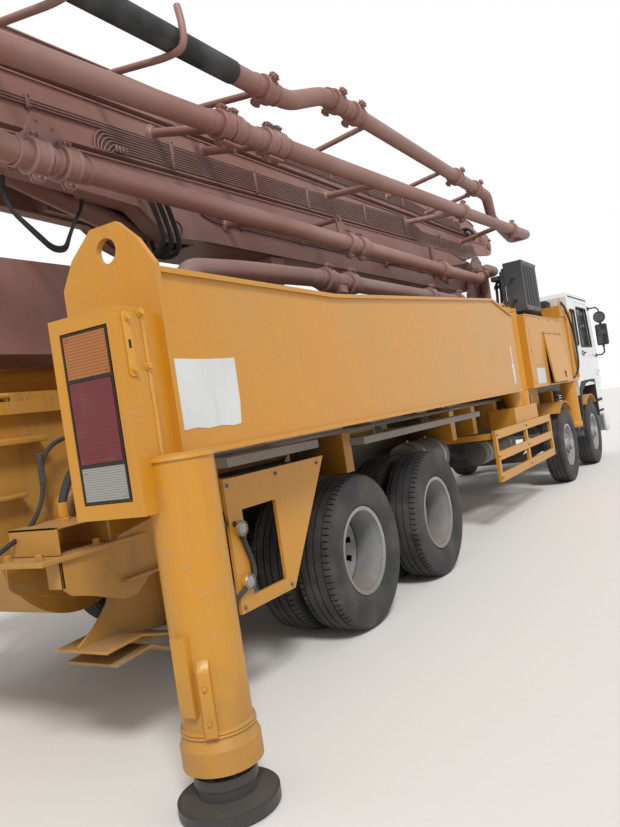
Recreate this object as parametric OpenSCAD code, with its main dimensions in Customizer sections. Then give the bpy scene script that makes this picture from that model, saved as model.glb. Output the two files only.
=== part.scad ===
// Concrete pump truck: four-axle chassis with cab, three-arm boom on a slewing
// turret, swing-out outriggers, concrete pump and hopper.
// +X is forward, +Y is the truck's left, +Z is up. Millimetres.
// The origin is on the ground, midway between the bumper and the boom's rear end.

/* [Axles] */
// Bumper's face ahead of the origin
bumper_x = 6195; // [6150:5:6250]
// Bumper's face back to the first axle
front_overhang = 1345; // [1300:5:1400]
// First axle to second axle
steer_spacing = 1950; // [1900:10:2000]
// Second axle to third axle
wheelbase = 5100; // [5050:10:5150]
// Third axle to fourth axle
tandem_spacing = 1350; // [1320:10:1400]

/* [Wheels] */
// Tyre's outer diameter
tyre_d = 1050; // [1030:2:1060]
// Tyre's width
tyre_w = 280; // [270:2:290]
// Centre to centre of the outer tyres on one axle
track = 2190; // [2160:2:2200]
// Centre to centre of a twin pair
twin_gap = 335; // [325:1:345]
// Rim's outer lip diameter
rim_d = 596; // [592:1:600]
// Round holes in a rim's disc
rim_holes = 10; // [6:1:12]
// Radius of one such hole
rim_hole_r = 26; // [20:1:28]

/* [Chassis] */
// Width over the two frame rails
frame_w = 860; // [820:10:900]
// Height of a frame rail
rail_h = 270; // [240:5:290]
// Top of the frame rails above the ground
rail_top = 1020; // [1010:5:1040]
// Flange width of a frame rail
rail_flange = 85; // [70:1:95]
// Plate thickness of a frame rail
rail_t = 9; // [8:1:14]
// Top of the deck above the ground
deck_top = 1340; // [1330:2:1346]

/* [Cab] */
// Cab's rear wall ahead of the origin
cab_rear = 4150; // [4140:5:4200]
// Cab's roof above the ground
cab_roof = 2830; // [2790:5:2835]
// Cab's width over the doors
cab_w = 2440; // [2400:10:2460]
// Thickness of the cab's walls
cab_wall = 45; // [35:1:55]
// Opening angle clearance round a door
door_gap = 6; // [5:1:10]

/* [Turret] */
// Slewing axis ahead of the origin
slew_x = 2150; // [2120:5:2180]
// Height of arm one's pin
lift_pin_z = 3150; // [3140:5:3160]
// Arm one's pin ahead of the slewing axis
lift_pin_dx = 400; // [390:5:410]
// Radius of the slewing ring
slew_r = 620; // [560:10:640]

/* [Boom] */
// Arm one, pin to pin
arm1_len = 8500; // [8450:10:8540]
// Arm two, pin to pin
arm2_len = 9700; // [9650:10:9720]
// Arm three, from its pin to its tip
arm3_len = 9500; // [9400:10:9550]
// Pin between arms one and two above the ground
rear_pin_z = 3340; // [3330:5:3350]
// Pin between arms two and three above the ground
front_pin_z = 3790; // [3780:5:3800]
// Outer width of arm one
arm1_w = 560; // [540:10:580]
// Outer width of arm two
arm2_w = 470; // [460:10:480]
// Outer width of arm three
arm3_w = 400; // [380:10:410]
// Outer diameter of the delivery pipe
pipe_d = 140; // [130:1:146]
// Distance of arm one's pipe from the centre line
pipe1_y = 620; // [610:5:630]
// Distance of arm two's pipe from the centre line
pipe2_y = 860; // [850:5:865]

/* [Outriggers] */
// Hinge of the rear outrigger ahead of the origin
leg_pin_x = 900; // [880:5:920]
// Hinges' distance from the centre line
leg_pin_y = 1080; // [1070:5:1090]
// Rear outrigger, hinge to end plate
leg_len = 6500; // [6440:10:6540]
// Angle that the rear outrigger stands out at rest
leg_swing = 2.95; // [2.9:0.05:3.4]
// Thickness of the rear outrigger's box
leg_w = 280; // [260:5:290]
// Radius of the rear leg's tube
leg_tube_r = 140; // [130:1:145]
// Radius of the rear leg's pad
pad_r = 205; // [190:1:215]
// Ground clearance under the rear pads
pad_z = 12; // [6:1:14]

/* [Pump] */
// Centre of the hopper's round bottom behind the origin
hopper_x = 5400; // [5380:5:5420]
// Radius of the hopper's round bottom
hopper_r = 430; // [420:5:440]
// Inner width of the hopper
hopper_w = 1120; // [1080:10:1140]
// Hopper's rim above the ground
hopper_top = 1760; // [1740:5:1780]
// Thickness of the hopper's plate
hopper_t = 14; // [10:1:18]
// Outer diameter of a concrete cylinder
pump_d = 260; // [240:5:270]

/* [Hidden] */

$fn = 48;
fit = 0.3;          // face to face seat of two pieces
run = 5;            // gap between pieces that move
side_y = 1250;      // half of the road width

yellow = [0.80, 0.58, 0.28];
boom_red = [0.50, 0.33, 0.28];
steel = [0.55, 0.55, 0.54];
dark = [0.17, 0.18, 0.19];
rubber = [0.10, 0.10, 0.11];
cab_white = [0.86, 0.88, 0.88];

tyre_r = tyre_d / 2;
rim_seat_r = rim_d / 2 - 12;
axle_x = [bumper_x - front_overhang,
    bumper_x - front_overhang - steer_spacing,
    bumper_x - front_overhang - steer_spacing - wheelbase,
    bumper_x - front_overhang - steer_spacing - wheelbase - tandem_spacing];
wheel_y = track / 2;
kingpin_y = wheel_y - 215;
spindle_r = 45;

lift_pin_x = slew_x + lift_pin_dx;
rear_pin_x = lift_pin_x - arm1_len;
front_pin_x = rear_pin_x + arm2_len;
arm3_tip_x = front_pin_x - arm3_len;
pipe_r = pipe_d / 2;

// Shared helpers

// Box between two corners
module box(a, b) translate(a) cube(b - a);

// Profile drawn in X and Z, from y0 to y1
module plate_y(y0, y1) translate([0, y1, 0]) rotate([90, 0, 0]) linear_extrude(y1 - y0) children();

// Profile drawn in Y and Z, from x0 to x1
module plate_x(x0, x1) translate([x0, 0, 0]) rotate([90, 0, 90]) linear_extrude(x1 - x0) children();

// Cylinder along Y, centred on p
module round_y(p, r, len) translate(p) rotate([90, 0, 0]) cylinder(r = r, h = len, center = true);

// Cylinder from p to q
module bar(p, q, r) {
    d = q - p;
    translate(p)
        rotate([0, acos(d[2] / norm(d)), atan2(d[1], d[0])])
            cylinder(r = r, h = norm(d));
}

// Round bar with ball corners through a list of points
module tube_run(pts, r, fn = 24) {
    for (i = [0 : len(pts) - 2]) bar(pts[i], pts[i + 1], r, $fn = fn);
    for (i = [1 : 1 : len(pts) - 2]) translate(pts[i]) sphere(r = r * 1.07, $fn = fn);
}

// Both sides of the truck
module both_sides() {
    children();
    mirror([0, 1, 0]) children();
}

// Turned about a vertical line through [x, y]
module turned(x, y, a) translate([x, y, 0]) rotate([0, 0, a]) translate([-x, -y, 0]) children();

// Clamp coupling round a pipe that runs along X
module coupling_x(p, len = 110) {
    translate(p) rotate([0, 90, 0]) cylinder(r = pipe_r + 22, h = len, center = true);
    translate(p + [0, 0, pipe_r + 22]) cube([len - 30, 46, 40], center = true);
}

// Wheels

// Half profile as [radius, distance from the wheel's middle plane]
module tyre_body() {
    lip = [rim_seat_r, 104];
    side = [[lip[0], lip[1]], [rim_d / 2 + 2, 104.6], [340, tyre_w / 2 - 14],
        [410, tyre_w / 2], [472, tyre_w / 2 - 4], [tyre_r - 14, tyre_w / 2 - 22], [tyre_r, tyre_w / 2 - 46]];
    far = [for (i = [len(side) - 1 : -1 : 0]) [side[i][0], -side[i][1]]];
    rotate([90, 0, 0]) rotate_extrude($fn = 40) polygon(concat(side, far));
}

// Rim barrel with both lips
module rim_barrel() {
    rotate([90, 0, 0]) rotate_extrude($fn = 40)
        polygon([[rim_seat_r - 8, -117], [rim_d / 2, -117], [rim_d / 2, -105], [rim_seat_r, -105],
            [rim_seat_r, 105], [rim_d / 2, 105], [rim_d / 2, 117], [rim_seat_r - 8, 117]]);
}

// Disc with round holes and a ring of nuts. s is 1 when the disc bulges to +Y
module rim_disc(hub_y, edge_y, s) {
    holes_r = 205;
    difference() {
        rotate([-90 * s, 0, 0]) rotate_extrude($fn = 40)
            polygon([[85, hub_y - 12], [150, hub_y - 12], [rim_seat_r - 7, edge_y - 12],
                [rim_seat_r - 7, edge_y], [150, hub_y], [85, hub_y]]);
        for (i = [0 : rim_holes - 1])
            rotate([0, i * 360 / rim_holes, 0]) round_y([holes_r, 0, 0], rim_hole_r, 500);
    }
}

// Steered wheel's rim, outer side towards -Y
module rim_single() {
    rim_barrel();
    rim_disc(60, 20, -1);
    difference() {
        round_y([0, 0, 0], 96, 220);
        round_y([0, 40, 0], spindle_r + fit, 200);
    }
    round_y([0, -125, 0], 70, 60);
}

// Twin wheel's rims, outer side towards -Y
module rim_twin() {
    mid = twin_gap / 2;
    rim_barrel();
    translate([0, mid, 0]) rim_disc(-2, 60, -1);
    translate([0, twin_gap, 0]) rim_barrel();
    translate([0, mid, 0]) rim_disc(-2, 60, 1);
    difference() {
        round_y([0, mid - 60, 0], 105, 300);
        round_y([0, mid + 60, 0], 70 + fit, 340);
    }
    round_y([0, mid - 225, 0], 86, 50);
}

// Wheel of axle i on side s, which is -1 on the right
module at_wheel(i, s) translate([axle_x[i], s * wheel_y, tyre_r])
    if (s < 0) children(); else mirror([0, 1, 0]) children();

module tyre(i, s) color(rubber) at_wheel(i, s) {
    tyre_body();
    if (i > 1) translate([0, twin_gap, 0]) tyre_body();
}

module rim(i, s) color(i > 1 ? [0.62, 0.62, 0.62] : [0.72, 0.72, 0.72]) at_wheel(i, s)
    if (i > 1) rim_twin(); else rim_single();

// Knuckle with kingpin, ears, spindle and steering arm
module knuckle(i, s) color(dark) at_wheel(i, s) {
    k = wheel_y - kingpin_y;
    for (e = [-1, 1]) translate([0, k, e * 92]) cylinder(r = 52, h = 42, center = true);
    translate([0, k, 0]) cylinder(r = 24, h = 220, center = true);
    box([-45, k - 95, -113], [45, k - 55, 113]);
    for (e = [-1, 1]) box([-45, k - 70, e * 92 - 21], [45, k - 10, e * 92 + 21]);
    bar([0, k - 60, 0], [0, -55, 0], spindle_r);
    bar([-20, k - 30, -92], [-210, k + 20, -92], 20);
}

// Chassis

module chassis_rails() color(dark) {
    y1 = frame_w / 2;
    both_sides() difference() {
        box([-4900, y1 - rail_flange, rail_top - rail_h], [bumper_x - 120 - fit, y1, rail_top]);
        box([-4950, y1 - rail_flange - 5, rail_top - rail_h + rail_t], [6130, y1 - rail_t, rail_top - rail_t]);
    }
    for (x = [-4870, -2875, -1100, 700, 2000, 3860, 5950])
        box([x - 30, -y1 + rail_t - 3, rail_top - rail_h + 40], [x + 30, y1 - rail_t + 3, rail_top - 40]);
    both_sides() for (x = [cab_rear + 150, 5850]) box([x - 40, y1 - rail_flange, rail_top - 5], [x + 40, y1, 1300 - fit]);
}

// Leaf spring pack centred at x: its ends stand rise above its middle
module leaf_pack(x, y, z, len, rise, t) {
    low = [for (k = [-4 : 4]) [x + k * len / 8, z + rise * k * k / 16]];
    high = [for (k = [4 : -1 : -4]) [x + k * len / 8, z + rise * k * k / 16 + t - abs(k) * t / 6]];
    plate_y(y - 40, y + 40) polygon(concat(low, high));
}

// Steered axle beam with a boss for each kingpin
module steer_axle(x) {
    difference() {
        union() {
            plate_x(x - 42, x + 42) polygon([[-kingpin_y, tyre_r - 55], [-kingpin_y + 70, tyre_r - 60],
                [-560, tyre_r - 190], [560, tyre_r - 190], [kingpin_y - 70, tyre_r - 60], [kingpin_y, tyre_r - 55],
                [kingpin_y, tyre_r + 50], [kingpin_y - 90, tyre_r + 50], [540, tyre_r - 80], [-540, tyre_r - 80],
                [-kingpin_y + 90, tyre_r + 50], [-kingpin_y, tyre_r + 50]]);
            for (s = [-1, 1]) translate([x, s * kingpin_y, tyre_r]) cylinder(r = 50, h = 130, center = true);
        }
        for (s = [-1, 1]) translate([x, s * kingpin_y, tyre_r]) cylinder(r = 24 + fit, h = 200, center = true);
    }
}

// Drive axle with its differential and hub tubes
module drive_axle(x) translate([x, 0, tyre_r]) {
    round_y([0, 0, 0], 70, 2 * (wheel_y - 90));
    sphere(r = 215);
    bar([0, 0, 30], [260, 0, 60], 95);
}

module axles() color(dark) {
    y0 = frame_w / 2 + fit;
    for (i = [0, 1]) {
        steer_axle(axle_x[i]);
        for (s = [-1, 1]) leaf_pack(axle_x[i], s * 480, tyre_r - 82, 1300, 330, 60);
        both_sides() for (d = [-1, 1]) box([axle_x[i] + d * 625 - 30, y0, 730], [axle_x[i] + d * 625 + 30, 520, 940]);
    }
    for (i = [2, 3]) drive_axle(axle_x[i]);
    for (s = [-1, 1]) {
        leaf_pack((axle_x[2] + axle_x[3]) / 2, s * 500, 640, 1250, -110, 90);
        box([axle_x[3] - 60, s * 500 - 45, tyre_r], [axle_x[3] + 60, s * 500 + 45, 690]);
        box([axle_x[2] - 60, s * 500 - 45, tyre_r], [axle_x[2] + 60, s * 500 + 45, 690]);
    }
    both_sides() box([(axle_x[2] + axle_x[3]) / 2 - 90, y0, 700], [(axle_x[2] + axle_x[3]) / 2 + 90, 540, 980]);
}

module engine() color([0.3, 0.3, 0.31]) {
    box([4450, -330, 620], [5650, 330, 1270]);
    y1 = frame_w / 2 - rail_t - fit;
    for (x = [4600, 5500]) box([x - 40, -y1, 860], [x + 40, y1, 920]);
}

// Subframe on the rails: long boxes, cross boxes, outrigger hinges and the turret's pedestal
module subframe() color(yellow) {
    z0 = rail_top + fit;
    top = deck_top - 20 - fit;
    both_sides() {
        box([-4850, 300, z0], [3700, 430, z0 + 120]);
        for (x = [-4700, -3100, -860, -200]) {
            box([x - 60, 0, z0], [x + 60, 940, z0 + 110]);
            box([x - 60, 450, z0], [x + 60, 940, top]);
        }
        for (x = [600, 2300, 3500]) box([x - 60, 0, z0], [x + 60, 940, top]);
        // outrigger hinges: foot box, post, hinge pins and their top plate
        box([500, 880, z0 - 60], [1500, 1195, z0 + 200]);
        for (x = [leg_pin_x, front_leg_pin_x]) {
            translate([x, leg_pin_y, z0 + 150]) cylinder(r = 100, h = (x == leg_pin_x ? 1395 : 1405) - z0 - 150);
            translate([x, leg_pin_y, z0 + 150]) cylinder(r = 45, h = 2455 - z0 - 150);
            translate([x, leg_pin_y, 2390]) cylinder(r = 100, h = 40);
        }
        box([leg_pin_x - 40, 960, 2390], [front_leg_pin_x + 40, 1140, 2430]);
        box([leg_pin_x + 110, 960, z0 + 150], [front_leg_pin_x - 110, 1120, 2430]);
    }
    box([1450, -895, z0], [2850, 895, 1400]);
    translate([slew_x, 0, 1390]) cylinder(r = slew_r - 60, h = 330);
    translate([slew_x, 0, 1700]) cylinder(r = slew_r, h = 80);
}

// Walkway plates, with the pump's well left open
module deck() color([0.42, 0.42, 0.41]) {
    z0 = deck_top - 20;
    difference() {
        box([-4700, -930, z0], [1400, 930, deck_top]);
        box([-4800, -440, z0 - 10], [-900, 440, deck_top + 10]);
    }
    box([2900, -900, z0], [3760, 900, deck_top]);
    both_sides() {
        box([-4910, 1120, 1280], [-3990, 1235, 1330]);
        box([-3380, 1120, 1230], [-860, 1235, 1280]);
        for (x = [-4500, -4100]) box([x - 30, 900, 1290], [x + 30, 1130, z0 + 5]);
        for (x = [-2900, -2100, -1060]) {
            box([x - 30, 700, 1240], [x + 30, 1130, 1270]);
            box([x - 30, 700, 1240], [x + 30, 760, z0 + 5]);
        }
    }
}

// Side panel with its window, the step frames, the wheel arches and the lower lamps
module side_guards() color(yellow) both_sides() {
    y0 = frame_w / 2 + fit;
    difference() {
        plate_y(1215, 1235) polygon([[-4970, 530], [-4470, 530], [-3960, 1225], [-4970, 1225]]);
        box([-4850, 1200, 600], [-4540, 1250, 1050]);
    }
    for (z = [680, 960]) round_y([-4900, 1240, z], 38, 40);
    box([-4900, 1130, 1180], [-4840, 1216, 1225]);
    for (x = [-4900, -4200]) box([x, y0, 1100], [x + 60, 1216, 1160]);
    for (z = [500, 725, 950]) box([-470, 1205, z], [1930, 1235, z + 90]);
    for (x = [-470, 700, 1870]) box([x, 1200, 500], [x + 60, 1234, 1040]);
    for (x = [-440, 1840]) box([x, y0, 955], [x + 60, 1206, 1015]);
    for (i = [0, 1]) {
        wheel_arch(axle_x[i]);
        for (d = [-1, 1]) box([axle_x[i] + d * 395 - 15, y0, 1000], [axle_x[i] + d * 395 + 15, 960, 1019]);
    }
}

// Arched mudguard above one steered wheel
module wheel_arch(x) {
    r = tyre_r + 95;
    outer = [for (a = [130 : -10 : 50]) [x + (r + 12) * cos(a), tyre_r + (r + 12) * sin(a)]];
    inner = [for (a = [50 : 10 : 130]) [x + r * cos(a), tyre_r + r * sin(a)]];
    plate_y(900, 1235) polygon(concat(outer, inner));
}

// Silencer and air tanks on the right, fuel tank on the left
module tanks() color(steel) {
    y0 = frame_w / 2 + fit;
    bar([-1620, -700, 900], [-940, -700, 900], 190);
    for (x = [-1500, -1060]) box([x - 20, -700, 985], [x + 20, -y0, 1018]);
    for (x = [-1500, -1060]) box([x - 20, -700, 880], [x + 20, -y0, 920]);
    box([-1600, 520, 480], [-560, 1080, 1010]);
    for (x = [-1350, -850]) box([x - 20, y0, 760], [x + 20, 540, 1000]);
    bar([200, -760, 760], [1400, -760, 760], 130);
    for (x = [400, 1200]) box([x - 20, -760, 780], [x + 20, -y0, 830]);
}

// Cab

// Cab's side outline in X and Z
module cab_outline(inset = 0) {
    f = bumper_x - 70;
    offset_x = inset;
    polygon([[cab_rear + offset_x, 1300 + inset], [f - offset_x, 1300 + inset],
        [f - offset_x, 1900], [f - 240 - offset_x, cab_roof - 60 - inset],
        [f - 330 - offset_x, cab_roof - inset], [cab_rear + 60 + offset_x, cab_roof - inset],
        [cab_rear + offset_x, cab_roof - 70 - inset]]);
}

// Door's outline in X and Z
module door_outline(grow = 0) {
    polygon([[4720 - grow, 1380 - grow], [5790 + grow, 1380 - grow], [5790 + grow, 1940],
        [5640 + grow, 2700 + grow], [4720 - grow, 2700 + grow]]);
}

// Window in the door, with the small low pane in its front corner
module door_window() {
    polygon([[4800, 1960], [5715, 1960], [5590, 2620], [4800, 2620]]);
}

hinge_x = bumper_x - 395;
hinge_z = [1480, 1820];

// Windscreen opening in Y and Z
module front_window() polygon([[-1060, 1930], [1060, 1930], [1000, 2700], [-1000, 2700]]);

module cab_shell() color(cab_white) {
    h = cab_w / 2;
    difference() {
        plate_y(-h, h) cab_outline();
        plate_y(-h + 60, h - 60) cab_outline(cab_wall);
        both_sides() plate_y(h - 80, h + 20) door_outline(door_gap);
        plate_x(bumper_x - 500, bumper_x) front_window();
        box([cab_rear - 50, -620, 1950], [cab_rear + 90, 620, 2550]);
        both_sides() box([cab_rear + 120, h - 90, 1980], [cab_rear + 480, h + 20, 2560]);
    }
    both_sides() {
        for (z = hinge_z) {
            translate([hinge_x, h + 16, z - 15]) cylinder(r = 8, h = 90);
            for (e = [-20, 65]) box([hinge_x - 8, h - 1, z + e], [hinge_x + 60, h + 28, z + e + 15]);
        }
        box([5480, 1003, 760 + fit], [6070, 1210, 1301]);
        box([cab_rear, 1020, 860], [cab_rear + 60, 1210, 1301]);
    }
}

module cab_interior() color([0.25, 0.25, 0.27]) {
    z = 1300 + cab_wall;
    for (y = [-560, 560]) {
        box([4700, y - 240, z], [5150, y + 240, z + 330]);
        translate([4740, y - 230, z + 330]) rotate([0, -8, 0]) cube([110, 460, 640]);
    }
    box([5640, -1080, z], [5900, 1080, z + 560]);
    translate([5560, 560, z + 640]) rotate([0, -35, 0]) difference() {
        cylinder(r = 220, h = 30, center = true);
        cylinder(r = 190, h = 60, center = true);
    }
    bar([5560, 560, z + 640], [5690, 560, z + 450], 28);
    translate([5560, 560, z + 640]) rotate([0, -35, 0]) cube([390, 40, 20], center = true);
}

module cab_glass() color([0.10, 0.14, 0.15, 0.5]) {
    h = cab_w / 2;
    f = bumper_x - 70;
    intersection() {
        plate_y(-1060, 1060) polygon([[f - 26, 1900], [f - 20, 1900], [f - 260, 2770], [f - 266, 2770]]);
        plate_x(bumper_x - 500, bumper_x) offset(delta = -fit) front_window();
    }
    box([cab_rear + 15, -620 + fit, 1950 + fit], [cab_rear + 21, 620 - fit, 2550 - fit]);
    both_sides() box([cab_rear + 120 + fit, h - 30, 1980 + fit], [cab_rear + 480 - fit, h - 24, 2560 - fit]);
}

// Door of side s with its window cut and its handle
module door(s) color(cab_white) {
    h = cab_w / 2;
    mirror([0, s < 0 ? 0 : 1, 0]) {
        difference() {
            plate_y(-h, -h + 55) door_outline();
            plate_y(-h - 20, -h + 80) door_window();
        }
        box([4790, -h - 22, 1830], [4940, -h + 5, 1865]);
        for (z = hinge_z) difference() {
            union() {
                translate([hinge_x, -h - 16, z]) cylinder(r = 14, h = 60);
                box([hinge_x - 110, -h - 12, z], [hinge_x - 4, -h + 1, z + 60]);
            }
            translate([hinge_x, -h - 16, z - 5]) cylinder(r = 8 + fit, h = 70);
        }
    }
}

// Bumper with its lamps, steps and the grille above it
module bumper() {
    color(cab_white) {
        difference() {
            box([5900, -1235, 430], [bumper_x, 1235, rail_top - rail_h - fit]);
            box([5700, -1205, 400], [bumper_x - 40, 1205, rail_top - rail_h - 30]);
            for (s = [-1, 1]) box([bumper_x - 60, s * 880 - 200, 540], [bumper_x + 20, s * 880 + 200, 700]);
        }
        difference() {
            box([bumper_x - 120, -1000, 780], [bumper_x - 70 - fit, 1000, 1300 - fit]);
            for (z = [850 : 90 : 1200]) box([bumper_x - 150, -900, z], [bumper_x, 900, z + 50]);
        }
        for (s = [-1, 1]) {
            box([bumper_x - 120, s * 400 - 40, 700], [bumper_x - 72, s * 400 + 40, 1290]);
            box([bumper_x - 55, s * 880 - 210, 530], [bumper_x - 35, s * 880 + 210, 710]);
        }
    }
    for (s = [-1, 1]) for (d = [-95, 95])
        translate([bumper_x - 45, s * 880 + d, 620]) rotate([0, 90, 0]) cylinder(r = 72, h = 38);
}

// Mirror heads on tubular arms in front of the doors
module mirrors() color(dark) both_sides() {
    y = cab_w / 2 + fit;
    tube_run([[5850, y + 14, 2640], [6000, y + 110, 2650], [6030, y + 150, 2600], [6030, y + 150, 1840],
        [6010, y + 110, 1800], [5980, y + 14, 1800]], 13, 10);
    for (q = [[5850, 2640], [5980, 1800]]) box([q[0] - 35, y, q[1] - 30], [q[0] + 35, y + 20, q[1] + 30]);
    box([6005, y + 60, 1980], [6060, y + 240, 2330]);
    translate([6005, y + 150, 2470]) rotate([0, 90, 0]) cylinder(r = 95, h = 55);
}

// Boom

// Girder along X with walls t thick; outline by children(0), opening for the well by children(1)
module girder(w, t) {
    difference() {
        plate_y(-w / 2, w / 2) children(0);
        plate_y(-w / 2 + t, w / 2 - t) children(1);
    }
}

// Pipe bend at a pin: comes from direction -X or +X at height z, leaves along Y
module pin_elbow(x, z, y0, y1, dx) {
    tube_run([[x + dx, y1, z], [x, y1, z], [x, y0, z]], pipe_r);
    round_y([x, y0 + (y1 > y0 ? 20 : -20), z], pipe_r + 20, 40);
}

// Cylinder's barrel from its eye at p towards q, len long
module ram_barrel(p, q, len, r, rod_r, pin_r) {
    u = (q - p) / norm(q - p);
    difference() {
        union() {
            bar(p, p + u * len, r);
            bar(p + u * (len - 90), p + u * len, r + 14);
            round_y(p, r + 6, 2 * r - 20);
        }
        bar(p + u * 150, p + u * (len - 60), r * 0.66);
        bar(p + u * (len - 70), p + u * (len + 5), rod_r + fit);
        round_y(p, pin_r + fit, 400);
    }
}

// Cylinder's rod from inside the barrel to its eye at q
module ram_rod(p, q, start, r, eye_r, eye_w) {
    u = (q - p) / norm(q - p);
    bar(p + u * start, q, r);
    round_y(q, eye_r, eye_w);
}

// Places of the rams' pins, base then rod eye
lift_base = [slew_x - 200, 0, 2150];
lift_eye = [lift_pin_x - 2350, 0, lift_pin_z - 200];
ram2_base = [rear_pin_x + 2050, 0, 2935];
ram2_eye = [rear_pin_x + 280, 0, rear_pin_z];
ram3_base = [front_pin_x - 2100, 0, 3590];
ram3_eye = [front_pin_x - 240, 0, front_pin_z];

lift_r = 110;
ram2_r = 75;
ram3_r = 62;

// Arm one's side outline: straight bottom, ram lug, raised rear end
module arm1_side() {
    difference() {
        union() {
            polygon([[lift_pin_x, lift_pin_z - 200], [lift_pin_x - 1300, 2880], [rear_pin_x + 2500, 2880],
                [rear_pin_x + 2250, 2880], [rear_pin_x + 2000, 2862], [rear_pin_x + 1880, 2900],
                [rear_pin_x + 1700, 3030], [rear_pin_x, rear_pin_z - 240], [rear_pin_x, rear_pin_z],
                [rear_pin_x + 300, 3290], [lift_pin_x - 800, 3440], [lift_pin_x, lift_pin_z + 200]]);
            translate([lift_pin_x, lift_pin_z]) circle(r = 200);
            translate([rear_pin_x, rear_pin_z]) circle(r = 245);
        }
        translate([rear_pin_x + 280, rear_pin_z + 235]) circle(r = 60);
    }
}

module arm_1() color(boom_red) {
    w = arm1_w / 2;
    difference() {
        plate_y(-w, w) arm1_side();
        // open rear end for arm two's root and the ram
        box([rear_pin_x - 400, -205, 2800], [rear_pin_x + 1300, 205, 3700]);
        plate_y(-110, 110) polygon([[rear_pin_x + 1290, 2780], [ram2_base[0] + 160, 2780],
            [ram2_base[0] + 160, 3060], [rear_pin_x + 1290, 3240]]);
        // lift ram's head
        box([lift_eye[0] - 250, -130, 2800], [lift_eye[0] + 1250, 130, 3100]);
        round_y([lift_pin_x, 0, lift_pin_z], 80 + fit, 900);
        round_y([rear_pin_x, 0, rear_pin_z], 70 + fit, 900);
    }
    for (s = [-1, 1]) plate_y(s * 95 - 20, s * 95 + 20) {
        translate([lift_eye[0], lift_eye[2]]) circle(r = 85);
        polygon([[lift_eye[0] - 85, lift_eye[2]], [lift_eye[0] + 85, lift_eye[2]],
            [lift_eye[0] + 180, 3120], [lift_eye[0] - 180, 3120]]);
    }
    for (s = [-1, 1]) round_y([ram2_base[0], s * 250, ram2_base[2]], 55, 70);
    round_y([ram2_base[0], 0, ram2_base[2]], 38, 420);
    arm1_pipe();
}

// Delivery pipe of arm one from the turret's pin to the rear pin
module arm1_pipe() {
    y = -pipe1_y;
    z = 2965;
    tube_run([[lift_pin_x, y + 84, lift_pin_z], [lift_pin_x, y, lift_pin_z], [lift_pin_x - 420, y, lift_pin_z],
        [lift_pin_x - 760, y, z], [rear_pin_x + 900, y, z + 45], [rear_pin_x + 500, y, rear_pin_z - 40],
        [rear_pin_x, y, rear_pin_z], [rear_pin_x, y - 110, rear_pin_z]], pipe_r);
    for (x = [-4200, -2300, -400, 1300]) coupling_x([x, y, z + 12]);
    for (x = [-4200, -2300, -400, 1300]) box([x - 25, y + 80, z - 40], [x + 25, -arm1_w / 2 + 5, z + 60]);
}

// Arm two's side outline
module arm2_side() {
    union() {
        polygon([[rear_pin_x, rear_pin_z - 170], [rear_pin_x + 330, rear_pin_z - 100], [rear_pin_x + 420, 3350],
            [lift_pin_x, 3500], [front_pin_x - 500, 3560], [front_pin_x, front_pin_z - 170],
            [front_pin_x, front_pin_z], [front_pin_x - 500, front_pin_z - 30], [rear_pin_x + 700, 3690],
            [rear_pin_x, rear_pin_z + 180]]);
        translate([rear_pin_x, rear_pin_z]) circle(r = 180);
        translate([front_pin_x, front_pin_z]) circle(r = 170);
    }
}

module arm_2() color(boom_red) {
    w = arm2_w / 2;
    difference() {
        plate_y(-w, w) arm2_side();
        // root narrowed to run between arm one's plates
        for (s = [-1, 1]) box([rear_pin_x - 400, s * 218 - 23, 3000], [rear_pin_x + 560, s * 218 + 23, 3900]);
        box([rear_pin_x - 400, -90, 3000], [rear_pin_x + 640, 90, 3900]);
        // channel for the ram that opens arm three
        plate_y(-100, 100) polygon([[ram3_base[0] - 150, 3508], [front_pin_x - 500, 3580], [front_pin_x + 400, 3580],
            [front_pin_x + 400, 4000], [ram3_base[0] - 150, 4000]]);
        // open front end for arm three's root
        box([front_pin_x - 420, -175, 3500], [front_pin_x + 400, 175, 4100]);
        round_y([front_pin_x, 0, front_pin_z], 60 + fit, 900);
    }
    for (s = [-1, 1]) round_y([rear_pin_x, s * 200, rear_pin_z], 70, 180);
    round_y([ram3_base[0], 0, ram3_base[2]], 32, 220);
    arm2_pipe();
}

// Delivery pipe of arm two from the rear pin to the front pin
module arm2_pipe() {
    y = -pipe2_y;
    z0 = rear_pin_z + 40;
    tube_run([[rear_pin_x, y + 125, rear_pin_z], [rear_pin_x, y, rear_pin_z], [rear_pin_x + 300, y, z0],
        [front_pin_x - 300, y, front_pin_z - 10], [front_pin_x, y, front_pin_z],
        [front_pin_x, y + 110, front_pin_z]], pipe_r);
    for (x = [-4300, -2400, -500, 1400]) {
        z = z0 + (front_pin_z - 10 - z0) * (x - rear_pin_x - 300) / (arm2_len - 600);
        coupling_x([x, y, z]);
        box([x - 25, y + 80, z - 40], [x + 25, -arm2_w / 2 + 5, z + 40]);
    }
}

// Arm three's side outline
module arm3_side() {
    union() {
        polygon([[front_pin_x, front_pin_z - 120], [front_pin_x - 330, front_pin_z - 60],
            [front_pin_x - 480, 3830], [arm3_tip_x + 100, 3745], [arm3_tip_x, 3780], [arm3_tip_x, 3930],
            [arm3_tip_x + 500, 3980], [front_pin_x - 700, 4080], [front_pin_x, front_pin_z + 150]]);
        translate([front_pin_x, front_pin_z]) circle(r = 150);
    }
}

module arm_3() color(boom_red) {
    w = arm3_w / 2;
    difference() {
        plate_y(-w, w) arm3_side();
        for (s = [-1, 1]) box([front_pin_x - 480, s * 190 - 20, 3400], [front_pin_x + 300, s * 190 + 20, 4200]);
        box([front_pin_x - 560, -75, 3500], [front_pin_x + 300, 75, 4200]);
    }
    for (s = [-1, 1]) round_y([front_pin_x, s * 175, front_pin_z], 60, 140);
    arm3_pipe();
}

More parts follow.
